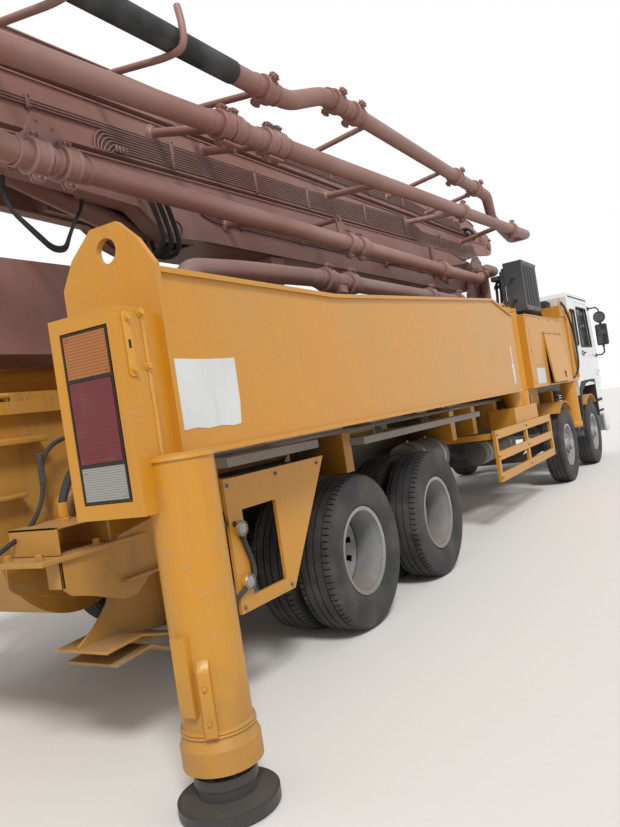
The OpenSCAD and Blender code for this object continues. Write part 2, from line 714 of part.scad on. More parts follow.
// Delivery pipe of arm three with its double bend, and the hooks for the end hose
pipe3_end_x = -3900;
pipe3_y = 950;
pipe3_z = 3800;
module arm3_pipe() {
    y = -pipe1_y;
    tube_run([[front_pin_x, y - 125, front_pin_z], [front_pin_x, y, front_pin_z], [front_pin_x - 330, y, front_pin_z + 60],
        [front_pin_x - 900, y, 3990], [1700, -pipe3_y + 40, 4020], [-1500, -pipe3_y, 4035],
        [-1750, -pipe3_y, 4000], [-2150, -pipe3_y, pipe3_z + 30], [-2450, -pipe3_y, pipe3_z],
        [pipe3_end_x, -pipe3_y, pipe3_z]], pipe_r);
    for (x = [-2500, -1450, 300, 1500]) coupling_x([x, -pipe3_y + (x > 1000 ? 35 : 0), x < -2000 ? pipe3_z : 4030]);
    for (x = [-3700, -2700]) box([x - 25, -pipe3_y + 40, pipe3_z - 30], [x + 25, -arm3_w / 2 + 5, pipe3_z + 30]);
    for (x = [-1000, 400, 1300]) bar([x, -pipe3_y + 20, 4020], [x, -arm3_w / 2 + 15, 3930], 26);
    for (x = [-5300, -4500]) {
        bar([x, -pipe3_y - 10, 3694], [x, -arm3_w / 2 + 15, 3830], 24);
        bar([x, -pipe3_y - 105, 3702], [x, -pipe3_y, 3702], 22);
        bar([x, -pipe3_y - 105, 3702], [x, -pipe3_y - 105, 3960], 22);
    }
}

// End hose of rubber, held in the hooks behind the pipe's end
module end_hose() color(rubber) {
    bar([pipe3_end_x - fit, -pipe3_y, pipe3_z], [-5750, -pipe3_y, pipe3_z + 1], 76);
}

// Turret

// Cheek plate's outline in X and Z
module cheek_side() {
    union() {
        polygon([[slew_x - 480, 1850], [slew_x + 560, 1850], [slew_x + 600, 2350], [lift_pin_x + 215, lift_pin_z],
            [lift_pin_x - 150, lift_pin_z + 150], [slew_x - 330, 2450], [slew_x - 480, 2250]]);
        translate([lift_pin_x, lift_pin_z]) circle(r = 215);
    }
}

module turret() color(boom_red) {
    translate([slew_x, 0, 1780 + fit]) cylinder(r = slew_r - 20, h = 90);
    difference() {
        for (s = [-1, 1]) plate_y(s * 345 - 30, s * 345 + 30) cheek_side();
        for (s = [-1, 1]) plate_y(s * 345 - 60, s * 345 + 60) translate([slew_x + 60, 2600]) circle(r = 140);
    }
    round_y([lift_pin_x, 0, lift_pin_z], 80, 760);
    round_y([lift_base[0], 0, lift_base[2]], 39, 760);
    for (s = [-1, 1]) round_y([lift_base[0], s * 230, lift_base[2]], 100, 230);
    box([slew_x + 300, -330, 1860], [slew_x + 420, 330, 2200]);
    // delivery pipe down the right cheek
    tube_run([[lift_pin_x, -pipe1_y + 120, lift_pin_z], [lift_pin_x, -pipe1_y + 165, lift_pin_z],
        [lift_pin_x, -pipe1_y + 165, lift_pin_z - 10], [lift_pin_x - 40, -pipe1_y + 165, 2150],
        [slew_x + 150, -pipe1_y + 165, 1950]], pipe_r);
    for (z = [2250, 2800]) box([lift_pin_x - 60, -460, z - 40], [lift_pin_x, -370, z + 40]);
    // bracket that carries the cooler
    for (x = [slew_x - 300, slew_x + 200]) box([x, -1000, 2380], [x + 60, -360, 2440]);
}

// Oil cooler beside the turret, ribbed on its faces
cooler_x = slew_x - 380;
module cooler() color(dark) {
    difference() {
        box([cooler_x, -1200, 2440 + fit], [cooler_x + 740, -960, 3100]);
        for (i = [0 : 11]) box([cooler_x + 40 + i * 56, -1210, 2500], [cooler_x + 66 + i * 56, -1180, 3050]);
        box([cooler_x + 60, -985, 2520], [cooler_x + 680, -950, 3040]);
    }
    for (z = [2620, 2900]) bar([cooler_x - 60, -1080, z], [cooler_x + 10, -1080, z], 28);
}

module lift_barrel() color(boom_red) ram_barrel(lift_base, lift_eye, 1640, lift_r, 60, 39);
module lift_rod() color(steel) ram_rod(lift_base, lift_eye, 165, 60, 78, 140);
module arm_2_barrel() color(boom_red) ram_barrel(ram2_base, ram2_eye, 1330, ram2_r, 42, 38);
module arm_2_rod() color(steel) ram_rod(ram2_base, ram2_eye, 700, 42, 66, 110);
module arm_3_barrel() color(boom_red) ram_barrel(ram3_base, ram3_eye, 1330, ram3_r, 34, 32);
module arm_3_rod() color(steel) ram_rod(ram3_base, ram3_eye, 760, 34, 55, 90);

// Girder that carries the folded boom, on two trestles above the deck
module boom_rest() color(boom_red) {
    y0 = -100;
    y1 = 420;
    difference() {
        box([-5600, y0, 2095], [-600, y1, 2630]);
        box([-5700, y0 + 25, 2120], [-500, y1 - 25, 2605]);
    }
    box([-5600, y0 - 30, 2070], [-600, y1 + 30, 2096]);
    for (x = [-3700, -1000]) {
        for (y = [-600, 520]) box([x - 60, y, deck_top + fit], [x + 60, y + 120, 2071]);
        box([x - 60, -600, 1990], [x + 60, 640, 2071]);
    }
    box([-2680, -240, 2629], [-2520, 420, 2800]);
    box([-2700, -260, 2799], [-2500, 440, 2875]);
}

// Pipe from the pump along the right of the deck, down to the turret's foot
module deck_pipe() color(boom_red) {
    y = -780;
    z = 2550;
    reach = slew_r - 59;
    tube_run([[-4400, -400, 1480], [-4400, -500, 1480], [-4100, -600, 1600], [-3600, y, z], [500, y, z],
        [800, y + 60, z - 80], [1000, -640, 1650], [1300, -560, 1560],
        [slew_x - reach * 0.835, -reach * 0.55, 1560]], pipe_r);
    for (x = [-2600, -800, 300]) coupling_x([x, y, z]);
    for (x = [-2600, -800]) {
        box([x - 30, y - 30, deck_top + fit], [x + 30, y + 30, z - 60]);
        box([x - 90, y - 90, deck_top + fit], [x + 90, y + 90, deck_top + 20]);
    }
}

// Pump

module pump_unit() color([0.62, 0.44, 0.22]) {
    z = 1290;
    for (s = [-1, 1]) {
        bar([-4930 + fit, s * 170, z], [-2900, s * 170, z], pump_d / 2);
        bar([-2301, s * 170, z], [-1150, s * 170, z], 85);
    }
    box([-2910, -340, 1141], [-2300, 340, 1500]);
    box([-1250, -330, 1160], [-1120, 330, 1430]);
    for (x = [-2700, -1200]) for (s = [-1, 1]) box([x - 50, s * 330 - 40, 1141], [x + 50, s * 330 + 40, 1180]);
    bar([-4400, 0, z], [-4400, 0, 1580], 110);
    bar([-4400, 0, 1480], [-4400, -400 + fit, 1480], pipe_r);
}

// Hopper's inner outline in X and Z, grown by g
module hopper_outline(g) {
    translate([-hopper_x, 1130]) circle(r = hopper_r + g);
    polygon([[-hopper_x - hopper_r - g, 1130], [-hopper_x - hopper_r - 120 - g, hopper_top],
        [-hopper_x + hopper_r + 30 + g, hopper_top], [-hopper_x + hopper_r + g, 1130]]);
}

module hopper() color(yellow) {
    h = hopper_w / 2;
    side = h + hopper_t;
    x0 = -hopper_x - hopper_r;
    x1 = -hopper_x + hopper_r;
    difference() {
        union() {
            plate_y(-side, side) hopper_outline(hopper_t);
            difference() {
                box([x0 - 190, -h - 60, hopper_top - 60], [x1 + 100, h + 60, hopper_top]);
                box([x0 - 130, -h, hopper_top - 80], [x1 + 30, h, hopper_top + 10]);
            }
        }
        plate_y(-h, h) hopper_outline(0);
        box([x0 - 400, -h, hopper_top - 1], [x1 + 400, h, hopper_top + 50]);
        round_y([-hopper_x, 0, 1180], 45 + fit, 3000);
    }
    // bearing housings of the agitator
    for (s = [-1, 1]) difference() {
        round_y([-hopper_x, s * (side + 43), 1180], 110, 88);
        round_y([-hopper_x, s * (side + 43), 1180], 45 + fit, 200);
    }
    // brackets between the hopper and the frame
    for (s = [-1, 1]) {
        plate_y(s * (h + 60) - 12, s * (h + 60) + 12) polygon([[x1 - 15, 1040], [x1 + 130, 1040],
            [x1 + 130, 980], [-hopper_x - 80, 820], [-hopper_x - 80, 900]]);
        box([x1 - 10, s * 400 - 60, 760], [-4900 - fit, s * 400 + 60, 1000]);
        box([x1 - 15, min(s * 350, s * (h + 72)), 985], [-4900 - fit, max(s * 350, s * (h + 72)), 1035]);
    }
    box([x1 + 5, -340, 1100], [-4930, 340, 1500]);
    // fixed left half of the grate
    grate_part(hopper_top - 1, -70);
    for (x = grate_hinge_x) {
        bar([x - 60, grate_hinge_y, grate_hinge_z], [x + 60, grate_hinge_y, grate_hinge_z], 8);
        for (e = [-60, 35]) box([x + e, grate_hinge_y - 14, hopper_top - 5], [x + e + 20, grate_hinge_y + 14, grate_hinge_z + 14]);
    }
}

grate_hinge_x = [-hopper_x - 300, -hopper_x + 300];
grate_hinge_y = -hopper_w / 2 - 36;
grate_hinge_z = hopper_top + 30;

// Part of the grate, from y0 to the left rim
module grate_part(z, y0) {
    x0 = -hopper_x - hopper_r - 140;
    x1 = -hopper_x + hopper_r + 60;
    h = hopper_w / 2 - 5;
    difference() {
        box([x0, y0, z], [x1, h, z + 45]);
        box([x0 + 40, y0 + 35, z - 5], [x1 - 40, h - 35, z + 50]);
    }
    for (y = [y0 + 110 : 85 : h - 60]) box([x0 + 5, y - 6, z + 5], [x1 - 5, y + 6, z + 35]);
    for (x = [x0 + 350, x0 + 700]) box([x - 8, y0 + 5, z + 6], [x + 8, h - 5, z + 34]);
}

// Hinged right part of the grate
module hopper_grate() color(yellow) {
    mirror([0, 1, 0]) grate_part(hopper_top + run, 80);
    for (x = grate_hinge_x) difference() {
        union() {
            bar([x - 30, grate_hinge_y, grate_hinge_z], [x + 25, grate_hinge_y, grate_hinge_z], 14);
            box([x - 30, grate_hinge_y, grate_hinge_z - 10], [x + 25, -hopper_w / 2 + 20, grate_hinge_z + 10]);
        }
        bar([x - 70, grate_hinge_y, grate_hinge_z], [x + 70, grate_hinge_y, grate_hinge_z], 8 + fit);
    }
}

module agitator() color(steel) {
    round_y([-hopper_x, 0, 1180], 45, hopper_w + 2 * hopper_t + 170);
    for (k = [0 : 3]) translate([-hopper_x, -420 + k * 280, 1180]) rotate([0, k * 90, 0]) {
        box([-50, -30, 30], [50, 30, 330]);
        box([-30, -90, 300], [30, 90, 350]);
    }
}

// Outriggers

front_leg_pin_x = 1250;

leg_x1 = leg_pin_x - leg_len;
leg_yo = -leg_pin_y - leg_w / 2;
leg_tube_x = leg_x1 - 105;
leg_tube_y = -leg_pin_y - 198;

// Rear outrigger's side outline, drawn at its stowed place
module leg_side(grow = 0) {
    polygon([[leg_x1, 1385 - grow], [leg_pin_x - 60, 1400 - grow], [leg_pin_x - 60, 2335 + grow],
        [leg_pin_x - 150, 2335 + grow], [-20, 2455 + grow], [-3950, 2200 + grow], [leg_x1, 2190 + grow]]);
}

// Rear outrigger of side s
module rear_leg(s) color(yellow) mirror([0, s < 0 ? 0 : 1, 0]) turned(leg_pin_x, -leg_pin_y, leg_swing) {
    y2 = leg_yo + leg_w;
    difference() {
        union() {
            plate_y(leg_yo, y2) leg_side();
            // lips along the top and bottom edges
            plate_y(leg_yo - 18, y2 + 18) difference() {
                leg_side();
                leg_side(-24);
                translate([leg_x1 - 50, 1409]) square([120, 757]);
                translate([leg_pin_x - 150, 1424]) square([120, 887]);
            }
            translate([leg_pin_x, -leg_pin_y, 1400]) cylinder(r = 100, h = 985);
            box([leg_pin_x - 120, leg_yo + 40, 1400], [leg_pin_x - 20, y2 - 40, 2330]);
        }
        translate([leg_pin_x, -leg_pin_y, 1300]) cylinder(r = 45 + fit, h = 1200);
    }
    // end plate with its lifting eye
    difference() {
        plate_x(leg_x1 - 30, leg_x1 + 1) polygon([[leg_yo - 25, 1385], [leg_yo - 25, 2200], [leg_yo + 50, 2320],
            [leg_yo + 150, 2415], [leg_yo + 300, 2415], [leg_yo + 430, 2310], [leg_yo + 505, 2190],
            [leg_yo + 505, 1960], [leg_yo + 440, 1385]]);
        translate([leg_x1 - 50, leg_yo + 225, 2305]) rotate([0, 90, 0]) cylinder(r = 55, h = 80);
    }
    // housing behind the end plate, lamp box with its three lenses, strap plate
    box([leg_x1 - 176, leg_yo + 10, 1385], [leg_x1 - 29, leg_yo + 260, 1990]);
    difference() {
        box([leg_x1 - 320, leg_yo - 43, 1200], [leg_x1 - 170, leg_yo + 317, 2000]);
        box([leg_x1 - 330, leg_yo + 10, 1260], [leg_x1 - 300, leg_yo + 265, 1940]);
    }
    for (row = lens_rows) box([leg_x1 - 316, leg_yo + 22, row[0]], [leg_x1 - 295, leg_yo + 253, row[1]]);
    // leg tube with its stepped collar and cover strip
    difference() {
        translate([leg_tube_x, leg_tube_y, 0]) {
            translate([0, 0, 330]) cylinder(r = leg_tube_r, h = 1085);
            translate([0, 0, 190]) cylinder(r = leg_tube_r + 22, h = 90);
            translate([0, 0, 279]) cylinder(r1 = leg_tube_r + 22, r2 = leg_tube_r, h = 52);
        }
        translate([leg_tube_x, leg_tube_y, 100]) cylinder(r = 92 + fit, h = 1200);
    }
    box([leg_tube_x - 165, leg_tube_y - 30, 420], [leg_tube_x - 130, leg_tube_y + 40, 720]);
}

// Lenses of one lamp box: bottom, top
lens_rows = [[1270, 1450], [1462, 1740], [1752, 1930]];

// Rear leg's foot: rod, bolted flange and pad
module rear_foot(s) color(dark) mirror([0, s < 0 ? 0 : 1, 0]) turned(leg_pin_x, -leg_pin_y, leg_swing)
    translate([leg_tube_x, leg_tube_y, 0]) {
        translate([0, 0, 70]) cylinder(r = 92, h = 1130);
        translate([0, 0, 60]) cylinder(r = 118, h = 60);
        translate([0, 0, 118]) cylinder(r = 128, h = 40);
        translate([0, 0, pad_z]) cylinder(r = pad_r, h = 42);
        translate([0, 0, pad_z + 41]) cylinder(r1 = pad_r - 10, r2 = 125, h = 18);
    }

// Front outrigger: upper box, leg box with its hatch, leg tube with collar
front_leg_x = 3800;
front_leg_y = 1125;
module front_leg(s) color(yellow) mirror([0, s < 0 ? 0 : 1, 0]) {
    yi = 1005;
    difference() {
        union() {
            box([front_leg_pin_x + 60, -side_y, 1410], [3350, -yi, 2350]);
            translate([front_leg_pin_x, -leg_pin_y, 1410]) cylinder(r = 100, h = 975);
            box([front_leg_pin_x, -leg_pin_y - 60, 1430], [front_leg_pin_x + 120, -leg_pin_y + 60, 2320]);
            plate_y(-side_y, -yi) polygon([[3340, 1415], [4080, 1415], [4080, 2480], [3980, 2560], [3340, 2560]]);
            translate([front_leg_x, -front_leg_y, 780]) cylinder(r = 118, h = 650);
            translate([front_leg_x, -front_leg_y, 700]) cylinder(r = 124, h = 90);
        }
        translate([front_leg_pin_x, -leg_pin_y, 1300]) cylinder(r = 45 + fit, h = 1200);
        translate([front_leg_x, -front_leg_y, 600]) cylinder(r = 75 + fit, h = 1000);
        box([3440, -side_y - 10, 1900], [3980, -side_y + 12, 2420]);
    }
    box([3446, -side_y + 1, 1906], [3974, -side_y + 13, 2414]);
}

module front_foot(s) color(dark) mirror([0, s < 0 ? 0 : 1, 0]) translate([front_leg_x, -front_leg_y, 0]) {
    translate([0, 0, 620]) cylinder(r = 75, h = 800);
    translate([0, 0, 560]) cylinder(r = 125, h = 70);
}

chassis_rails();
axles();
engine();
subframe();
deck();
side_guards();
tanks();
cab_shell();
cab_interior();
cab_glass();
bumper();
mirrors();
boom_rest();
deck_pipe();
pump_unit();
hopper();
hopper_grate();
agitator();
door(1);  // door_left
door(-1);  // door_right
knuckle(0, 1);  // knuckle_1_left
knuckle(0, -1);  // knuckle_1_right
knuckle(1, 1);  // knuckle_2_left
knuckle(1, -1);  // knuckle_2_right
tyre(0, 1);  // tyre_1_left
tyre(0, -1);  // tyre_1_right
tyre(1, 1);  // tyre_2_left
tyre(1, -1);  // tyre_2_right
tyre(2, 1);  // tyre_3_left
tyre(2, -1);  // tyre_3_right
tyre(3, 1);  // tyre_4_left
tyre(3, -1);  // tyre_4_right
rim(0, 1);  // rim_1_left
rim(0, -1);  // rim_1_right
rim(1, 1);  // rim_2_left
rim(1, -1);  // rim_2_right
rim(2, 1);  // rim_3_left
rim(2, -1);  // rim_3_right
rim(3, 1);  // rim_4_left
rim(3, -1);  // rim_4_right
turret();
cooler();
arm_1();
arm_2();
arm_3();
end_hose();
lift_barrel();
lift_rod();
arm_2_barrel();
arm_2_rod();
arm_3_barrel();
arm_3_rod();
rear_leg(1);  // rear_leg_left
rear_leg(-1);  // rear_leg_right
rear_foot(1);  // rear_foot_left
rear_foot(-1);  // rear_foot_right
front_leg(1);  // front_leg_left
front_leg(-1);  // front_leg_right
front_foot(1);  // front_foot_left
front_foot(-1);  // front_foot_right
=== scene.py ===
import bpy
import bmesh
import math
from mathutils import Matrix, Vector


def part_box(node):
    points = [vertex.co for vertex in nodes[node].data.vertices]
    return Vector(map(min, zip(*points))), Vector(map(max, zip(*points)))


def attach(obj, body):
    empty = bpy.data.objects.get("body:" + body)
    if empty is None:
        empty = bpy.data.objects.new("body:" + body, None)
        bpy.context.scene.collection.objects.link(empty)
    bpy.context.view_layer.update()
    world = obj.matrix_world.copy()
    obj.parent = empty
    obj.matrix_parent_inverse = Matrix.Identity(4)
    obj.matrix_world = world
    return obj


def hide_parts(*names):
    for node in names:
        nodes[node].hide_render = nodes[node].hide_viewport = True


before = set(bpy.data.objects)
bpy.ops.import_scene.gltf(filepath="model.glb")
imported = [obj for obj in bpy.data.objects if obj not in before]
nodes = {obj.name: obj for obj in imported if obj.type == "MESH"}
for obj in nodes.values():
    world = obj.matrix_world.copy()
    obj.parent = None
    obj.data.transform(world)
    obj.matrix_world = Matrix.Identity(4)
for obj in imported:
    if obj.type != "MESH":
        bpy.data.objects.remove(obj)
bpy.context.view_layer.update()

# camera and studio

camera = {
    "place": (-7.837, -3.587, 1.474),
    "heading": math.radians(31.73), "climb": math.radians(0.29), "bank": math.radians(-8.69),
    "focalLength": 31.364, "longSide": 36.0,
}


def makeCamera(want):
    data = bpy.data.cameras.new("photoCamera")
    data.sensor_fit, data.sensor_width, data.lens = "AUTO", want["longSide"], want["focalLength"]
    data.clip_start, data.clip_end = 0.05, 300
    h, c, b = want["heading"], want["climb"], want["bank"]
    ahead = Vector((math.cos(h) * math.cos(c), math.sin(h) * math.cos(c), math.sin(c)))
    side = Vector((math.sin(h), -math.cos(h), 0))
    over = side.cross(ahead)
    right = math.cos(b) * side + math.sin(b) * over
    up = -math.sin(b) * side + math.cos(b) * over
    seen = bpy.data.objects.new("photoCamera", data)
    bpy.context.scene.collection.objects.link(seen)
    seen.matrix_world = Matrix.Translation(want["place"]) @ Matrix((right, up, -ahead)).transposed().to_4x4()
    bpy.context.scene.camera = seen


studio = {
    "fillLevel": 0.62, "backLevel": 1.0, "floorTone": (0.74, 0.72, 0.69, 1), "floorSize": 120,
    "sunTurn": (math.radians(38), math.radians(-22), math.radians(-18)), "sunLevel": 2.3,
    "sunSoftness": math.radians(14), "floorSpeckle": (0.6, 0.58, 0.55, 1), "speckleScale": 14,
}

# a shader socket that takes part in sums


class Field:
    def __init__(self, paint, socket):
        self.paint, self.socket = paint, socket

    def joined(self, operation, *others):
        parts = dict(enumerate((self,) + others))
        return self.paint.node("ShaderNodeMath", {"operation": operation}, parts)

    def __add__(self, other):
        return self.joined("ADD", other)

    __radd__ = __add__

    def __mul__(self, other):
        return self.joined("MULTIPLY", other)

    __rmul__ = __mul__

    def __sub__(self, other):
        return self.joined("SUBTRACT", other)

    def __rsub__(self, other):
        return (self * -1.0).joined("ADD", other)

    def __pow__(self, other):
        return self.joined("POWER", other)

    def ramp(self, low, high):  # 0 below low, 1 above high, soft between
        return self.paint.node("ShaderNodeMapRange", {"interpolation_type": "SMOOTHSTEP"},
                               {"Value": self, "From Min": low, "From Max": high})

    def biggest(self, other):
        return self.joined("MAXIMUM", other)

    def wave(self):
        return self.joined("SINE")


# one material, its nodes made by one method


class Paint:
    def __init__(self, name, world=None):
        self.material = world or bpy.data.materials.new(name)
        self.material.use_nodes = True
        self.tree = self.material.node_tree
        self.shader = self.tree.nodes["Background" if world else "Principled BSDF"]

    def node(self, kind, settings, inputs, output=0):
        made = self.tree.nodes.new(kind)
        for key, value in settings.items():
            if key == "stops":
                for k, (at, tone) in enumerate(value):
                    stop = made.color_ramp.elements[k] if k < 2 else made.color_ramp.elements.new(at)
                    stop.position, stop.color = at, tone
            else:
                setattr(made, key, value)
        for key, value in inputs.items():
            if isinstance(value, Field):
                self.tree.links.new(value.socket, made.inputs[key])
            else:
                made.inputs[key].default_value = value
        return Field(self, made.outputs[output])

    def place(self, stretch=(1, 1, 1)):
        spot = self.node("ShaderNodeTexCoord", {}, {}, "Object")
        return self.node("ShaderNodeMapping", {}, {"Vector": spot, "Scale": stretch})

    def along(self, axis):
        return self.node("ShaderNodeSeparateXYZ", {}, {0: self.place()}, axis)

    def facing(self, axis):
        normal = self.node("ShaderNodeTexCoord", {}, {}, "Normal")
        return self.node("ShaderNodeSeparateXYZ", {}, {0: normal}, axis)

    def noise(self, scale, detail=3.0, stretch=(1, 1, 1), roughness=0.55):
        return self.node("ShaderNodeTexNoise", {}, {"Vector": self.place(stretch), "Scale": scale,
                                                    "Detail": detail, "Roughness": roughness})

    def mixed(self, part, under, over):
        return self.node("ShaderNodeMix", {"data_type": "RGBA"}, {0: part, 6: under, 7: over}, 2)

    def bump(self, height, depth, strength=1.0):
        return self.node("ShaderNodeBump", {}, {"Height": height, "Distance": depth, "Strength": strength})

    def put(self, **links):
        names = {"colour": "Base Color", "roughness": "Roughness", "metallic": "Metallic", "normal": "Normal",
                 "coat": "Coat Weight", "alpha": "Alpha", "specular": "Specular IOR Level",
                 "transmission": "Transmission Weight", "ior": "IOR", "sky": "Color", "strength": "Strength"}
        for key, value in links.items():
            if isinstance(value, Field):
                self.tree.links.new(value.socket, self.shader.inputs[names[key]])
            else:
                self.shader.inputs[names[key]].default_value = value
        return self.material


def rgb(red, green, blue):
    return (red, green, blue, 1.0)


# finishes

dirtAndShade = {
    "dustTone": rgb(0.36, 0.29, 0.2), "mudTone": rgb(0.12, 0.095, 0.07), "rustTone": rgb(0.1, 0.04, 0.018),
    "concreteTone": rgb(0.3, 0.29, 0.27), "mudTop": 1.05,
    # the last tone is painted shade, laid near black on what lies low and toward the middle
    "paintedShadeTone": rgb(0.028, 0.026, 0.024),
}


def agedPaint(name, tone, faded, dust=0.5, mud=0.5, chips=0.4, streaks=0.35, gloss=0.42, concrete=0.0, lumps=0.0,
              dustTone=dirtAndShade["dustTone"], shadeInward=0.0):
    p = Paint(name)
    colour = p.mixed(p.noise(0.9, 4).ramp(0.35, 0.68), tone, faded)
    grain = p.noise(60, 2)
    run = p.noise(5, 5, (3.2, 3.2, 0.3), 0.62).ramp(0.5, 0.86)  # rain carries dirt down in long soft runs
    colour = p.mixed(run * streaks, colour, dirtAndShade["mudTone"])
    up = p.facing(2).ramp(0.25, 0.95)
    lying = (up * (0.35 + p.noise(5, 4) * 0.9)).ramp(0.1, 0.95)
    loose = p.noise(2.2, 5).ramp(0.42, 0.8) * 0.35
    dusty = lying.biggest(loose) * dust
    colour = p.mixed(dusty, colour, dustTone)
    low = 1.0 - p.along(2).ramp(0.2, dirtAndShade["mudTop"])
    muddy = (low * (0.4 + p.noise(9, 5) * 0.9)).ramp(0.35, 0.9) * mud
    colour = p.mixed(muddy, colour, dirtAndShade["mudTone"])
    spots = p.noise(24, 5, roughness=0.7).ramp(0.665, 0.72) * p.noise(1.7, 2).ramp(0.42, 0.66) * chips
    colour = p.mixed(spots, colour, dirtAndShade["rustTone"])
    if shadeInward:  # painted shade: near black on what lies low and toward the middle, below the deck
        reach = (p.along(1) * p.along(1) + p.noise(3, 4) * 0.3).ramp(0.42, 1.05)
        shadeMask = (1.0 - reach) * (1.0 - p.along(2).ramp(1.36, 1.42)) * shadeInward
        colour = p.mixed(shadeMask, colour, dirtAndShade["paintedShadeTone"])
    rough = gloss + dusty * 0.35 + muddy * 0.3 + spots * 0.3 + grain * 0.08
    height = grain * 0.3 + spots * -0.6 + muddy * 0.8
    if lumps:
        height = height + p.noise(16, 3) * lumps  # thick brushed paint
    if concrete:
        splash = p.noise(13, 6, roughness=0.72).ramp(0.56, 0.62) * p.noise(1.6, 3).ramp(0.36, 0.6) * concrete
        colour = p.mixed(splash, colour, dirtAndShade["concreteTone"])
        rough = rough + splash * 0.3
        height = height + splash * 2.5
    return p.put(colour=colour, roughness=rough.joined("MINIMUM", 0.95), normal=p.bump(height, 0.0016))


def bareMetal(name, tone, stained, rough=0.35, brushed=0.0):
    p = Paint(name)
    stains = p.noise(3.5, 6).ramp(0.45, 0.72)
    colour = p.mixed(stains * 0.7, tone, stained)
    lines = p.noise(220, 2, (1, 1, 0.03)) if brushed else p.noise(90, 2)
    return p.put(colour=colour, roughness=rough + stains * 0.3 + lines * 0.1, metallic=1.0 - stains * 0.5,
                 normal=p.bump(lines, 0.0004))


def oldRubber(name, tone, dusty, dust=0.5, ribs=0.0, depth=0.0008):
    p = Paint(name)
    cloud = p.noise(4, 5).ramp(0.38, 0.72)
    fine = p.noise(110, 3)
    colour = p.mixed(cloud * dust, tone, dusty)
    height = fine
    if ribs:
        height = height + (p.along(0) * ribs).wave() * 1.5
    return p.put(colour=colour, roughness=0.72 + cloud * 0.2, normal=p.bump(height, depth))


def clearGlass(name, tone, clear=0.72):
    p = Paint(name)
    smear = p.noise(2.4, 5, (1, 1, 0.4)).ramp(0.4, 0.8)
    colour = p.mixed(smear * 0.25, tone, rgb(0.2, 0.18, 0.15))
    return p.put(colour=colour, roughness=0.06 + smear * 0.18, alpha=clear + smear * 0.16, coat=0.3)


def lensPlastic(name, tone, ribStep=0.0):
    p = Paint(name)
    colour = p.mixed(p.noise(9, 5).ramp(0.5, 0.85) * 0.12, tone, dirtAndShade["dustTone"])
    height = p.noise(35, 4)
    if ribStep:  # fine prisms under a smooth face
        prism = (p.along(2) * (6.283 / ribStep)).wave()
        colour = p.mixed(prism.ramp(0.2, 1.0) * 0.3, colour, tuple(0.4 * v for v in tone[:3]) + (1.0,))
        height = height + prism * 0.3
    return p.put(colour=colour, roughness=0.24, coat=0.15, normal=p.bump(height, 0.0007))


boomDust = rgb(0.3, 0.225, 0.2)

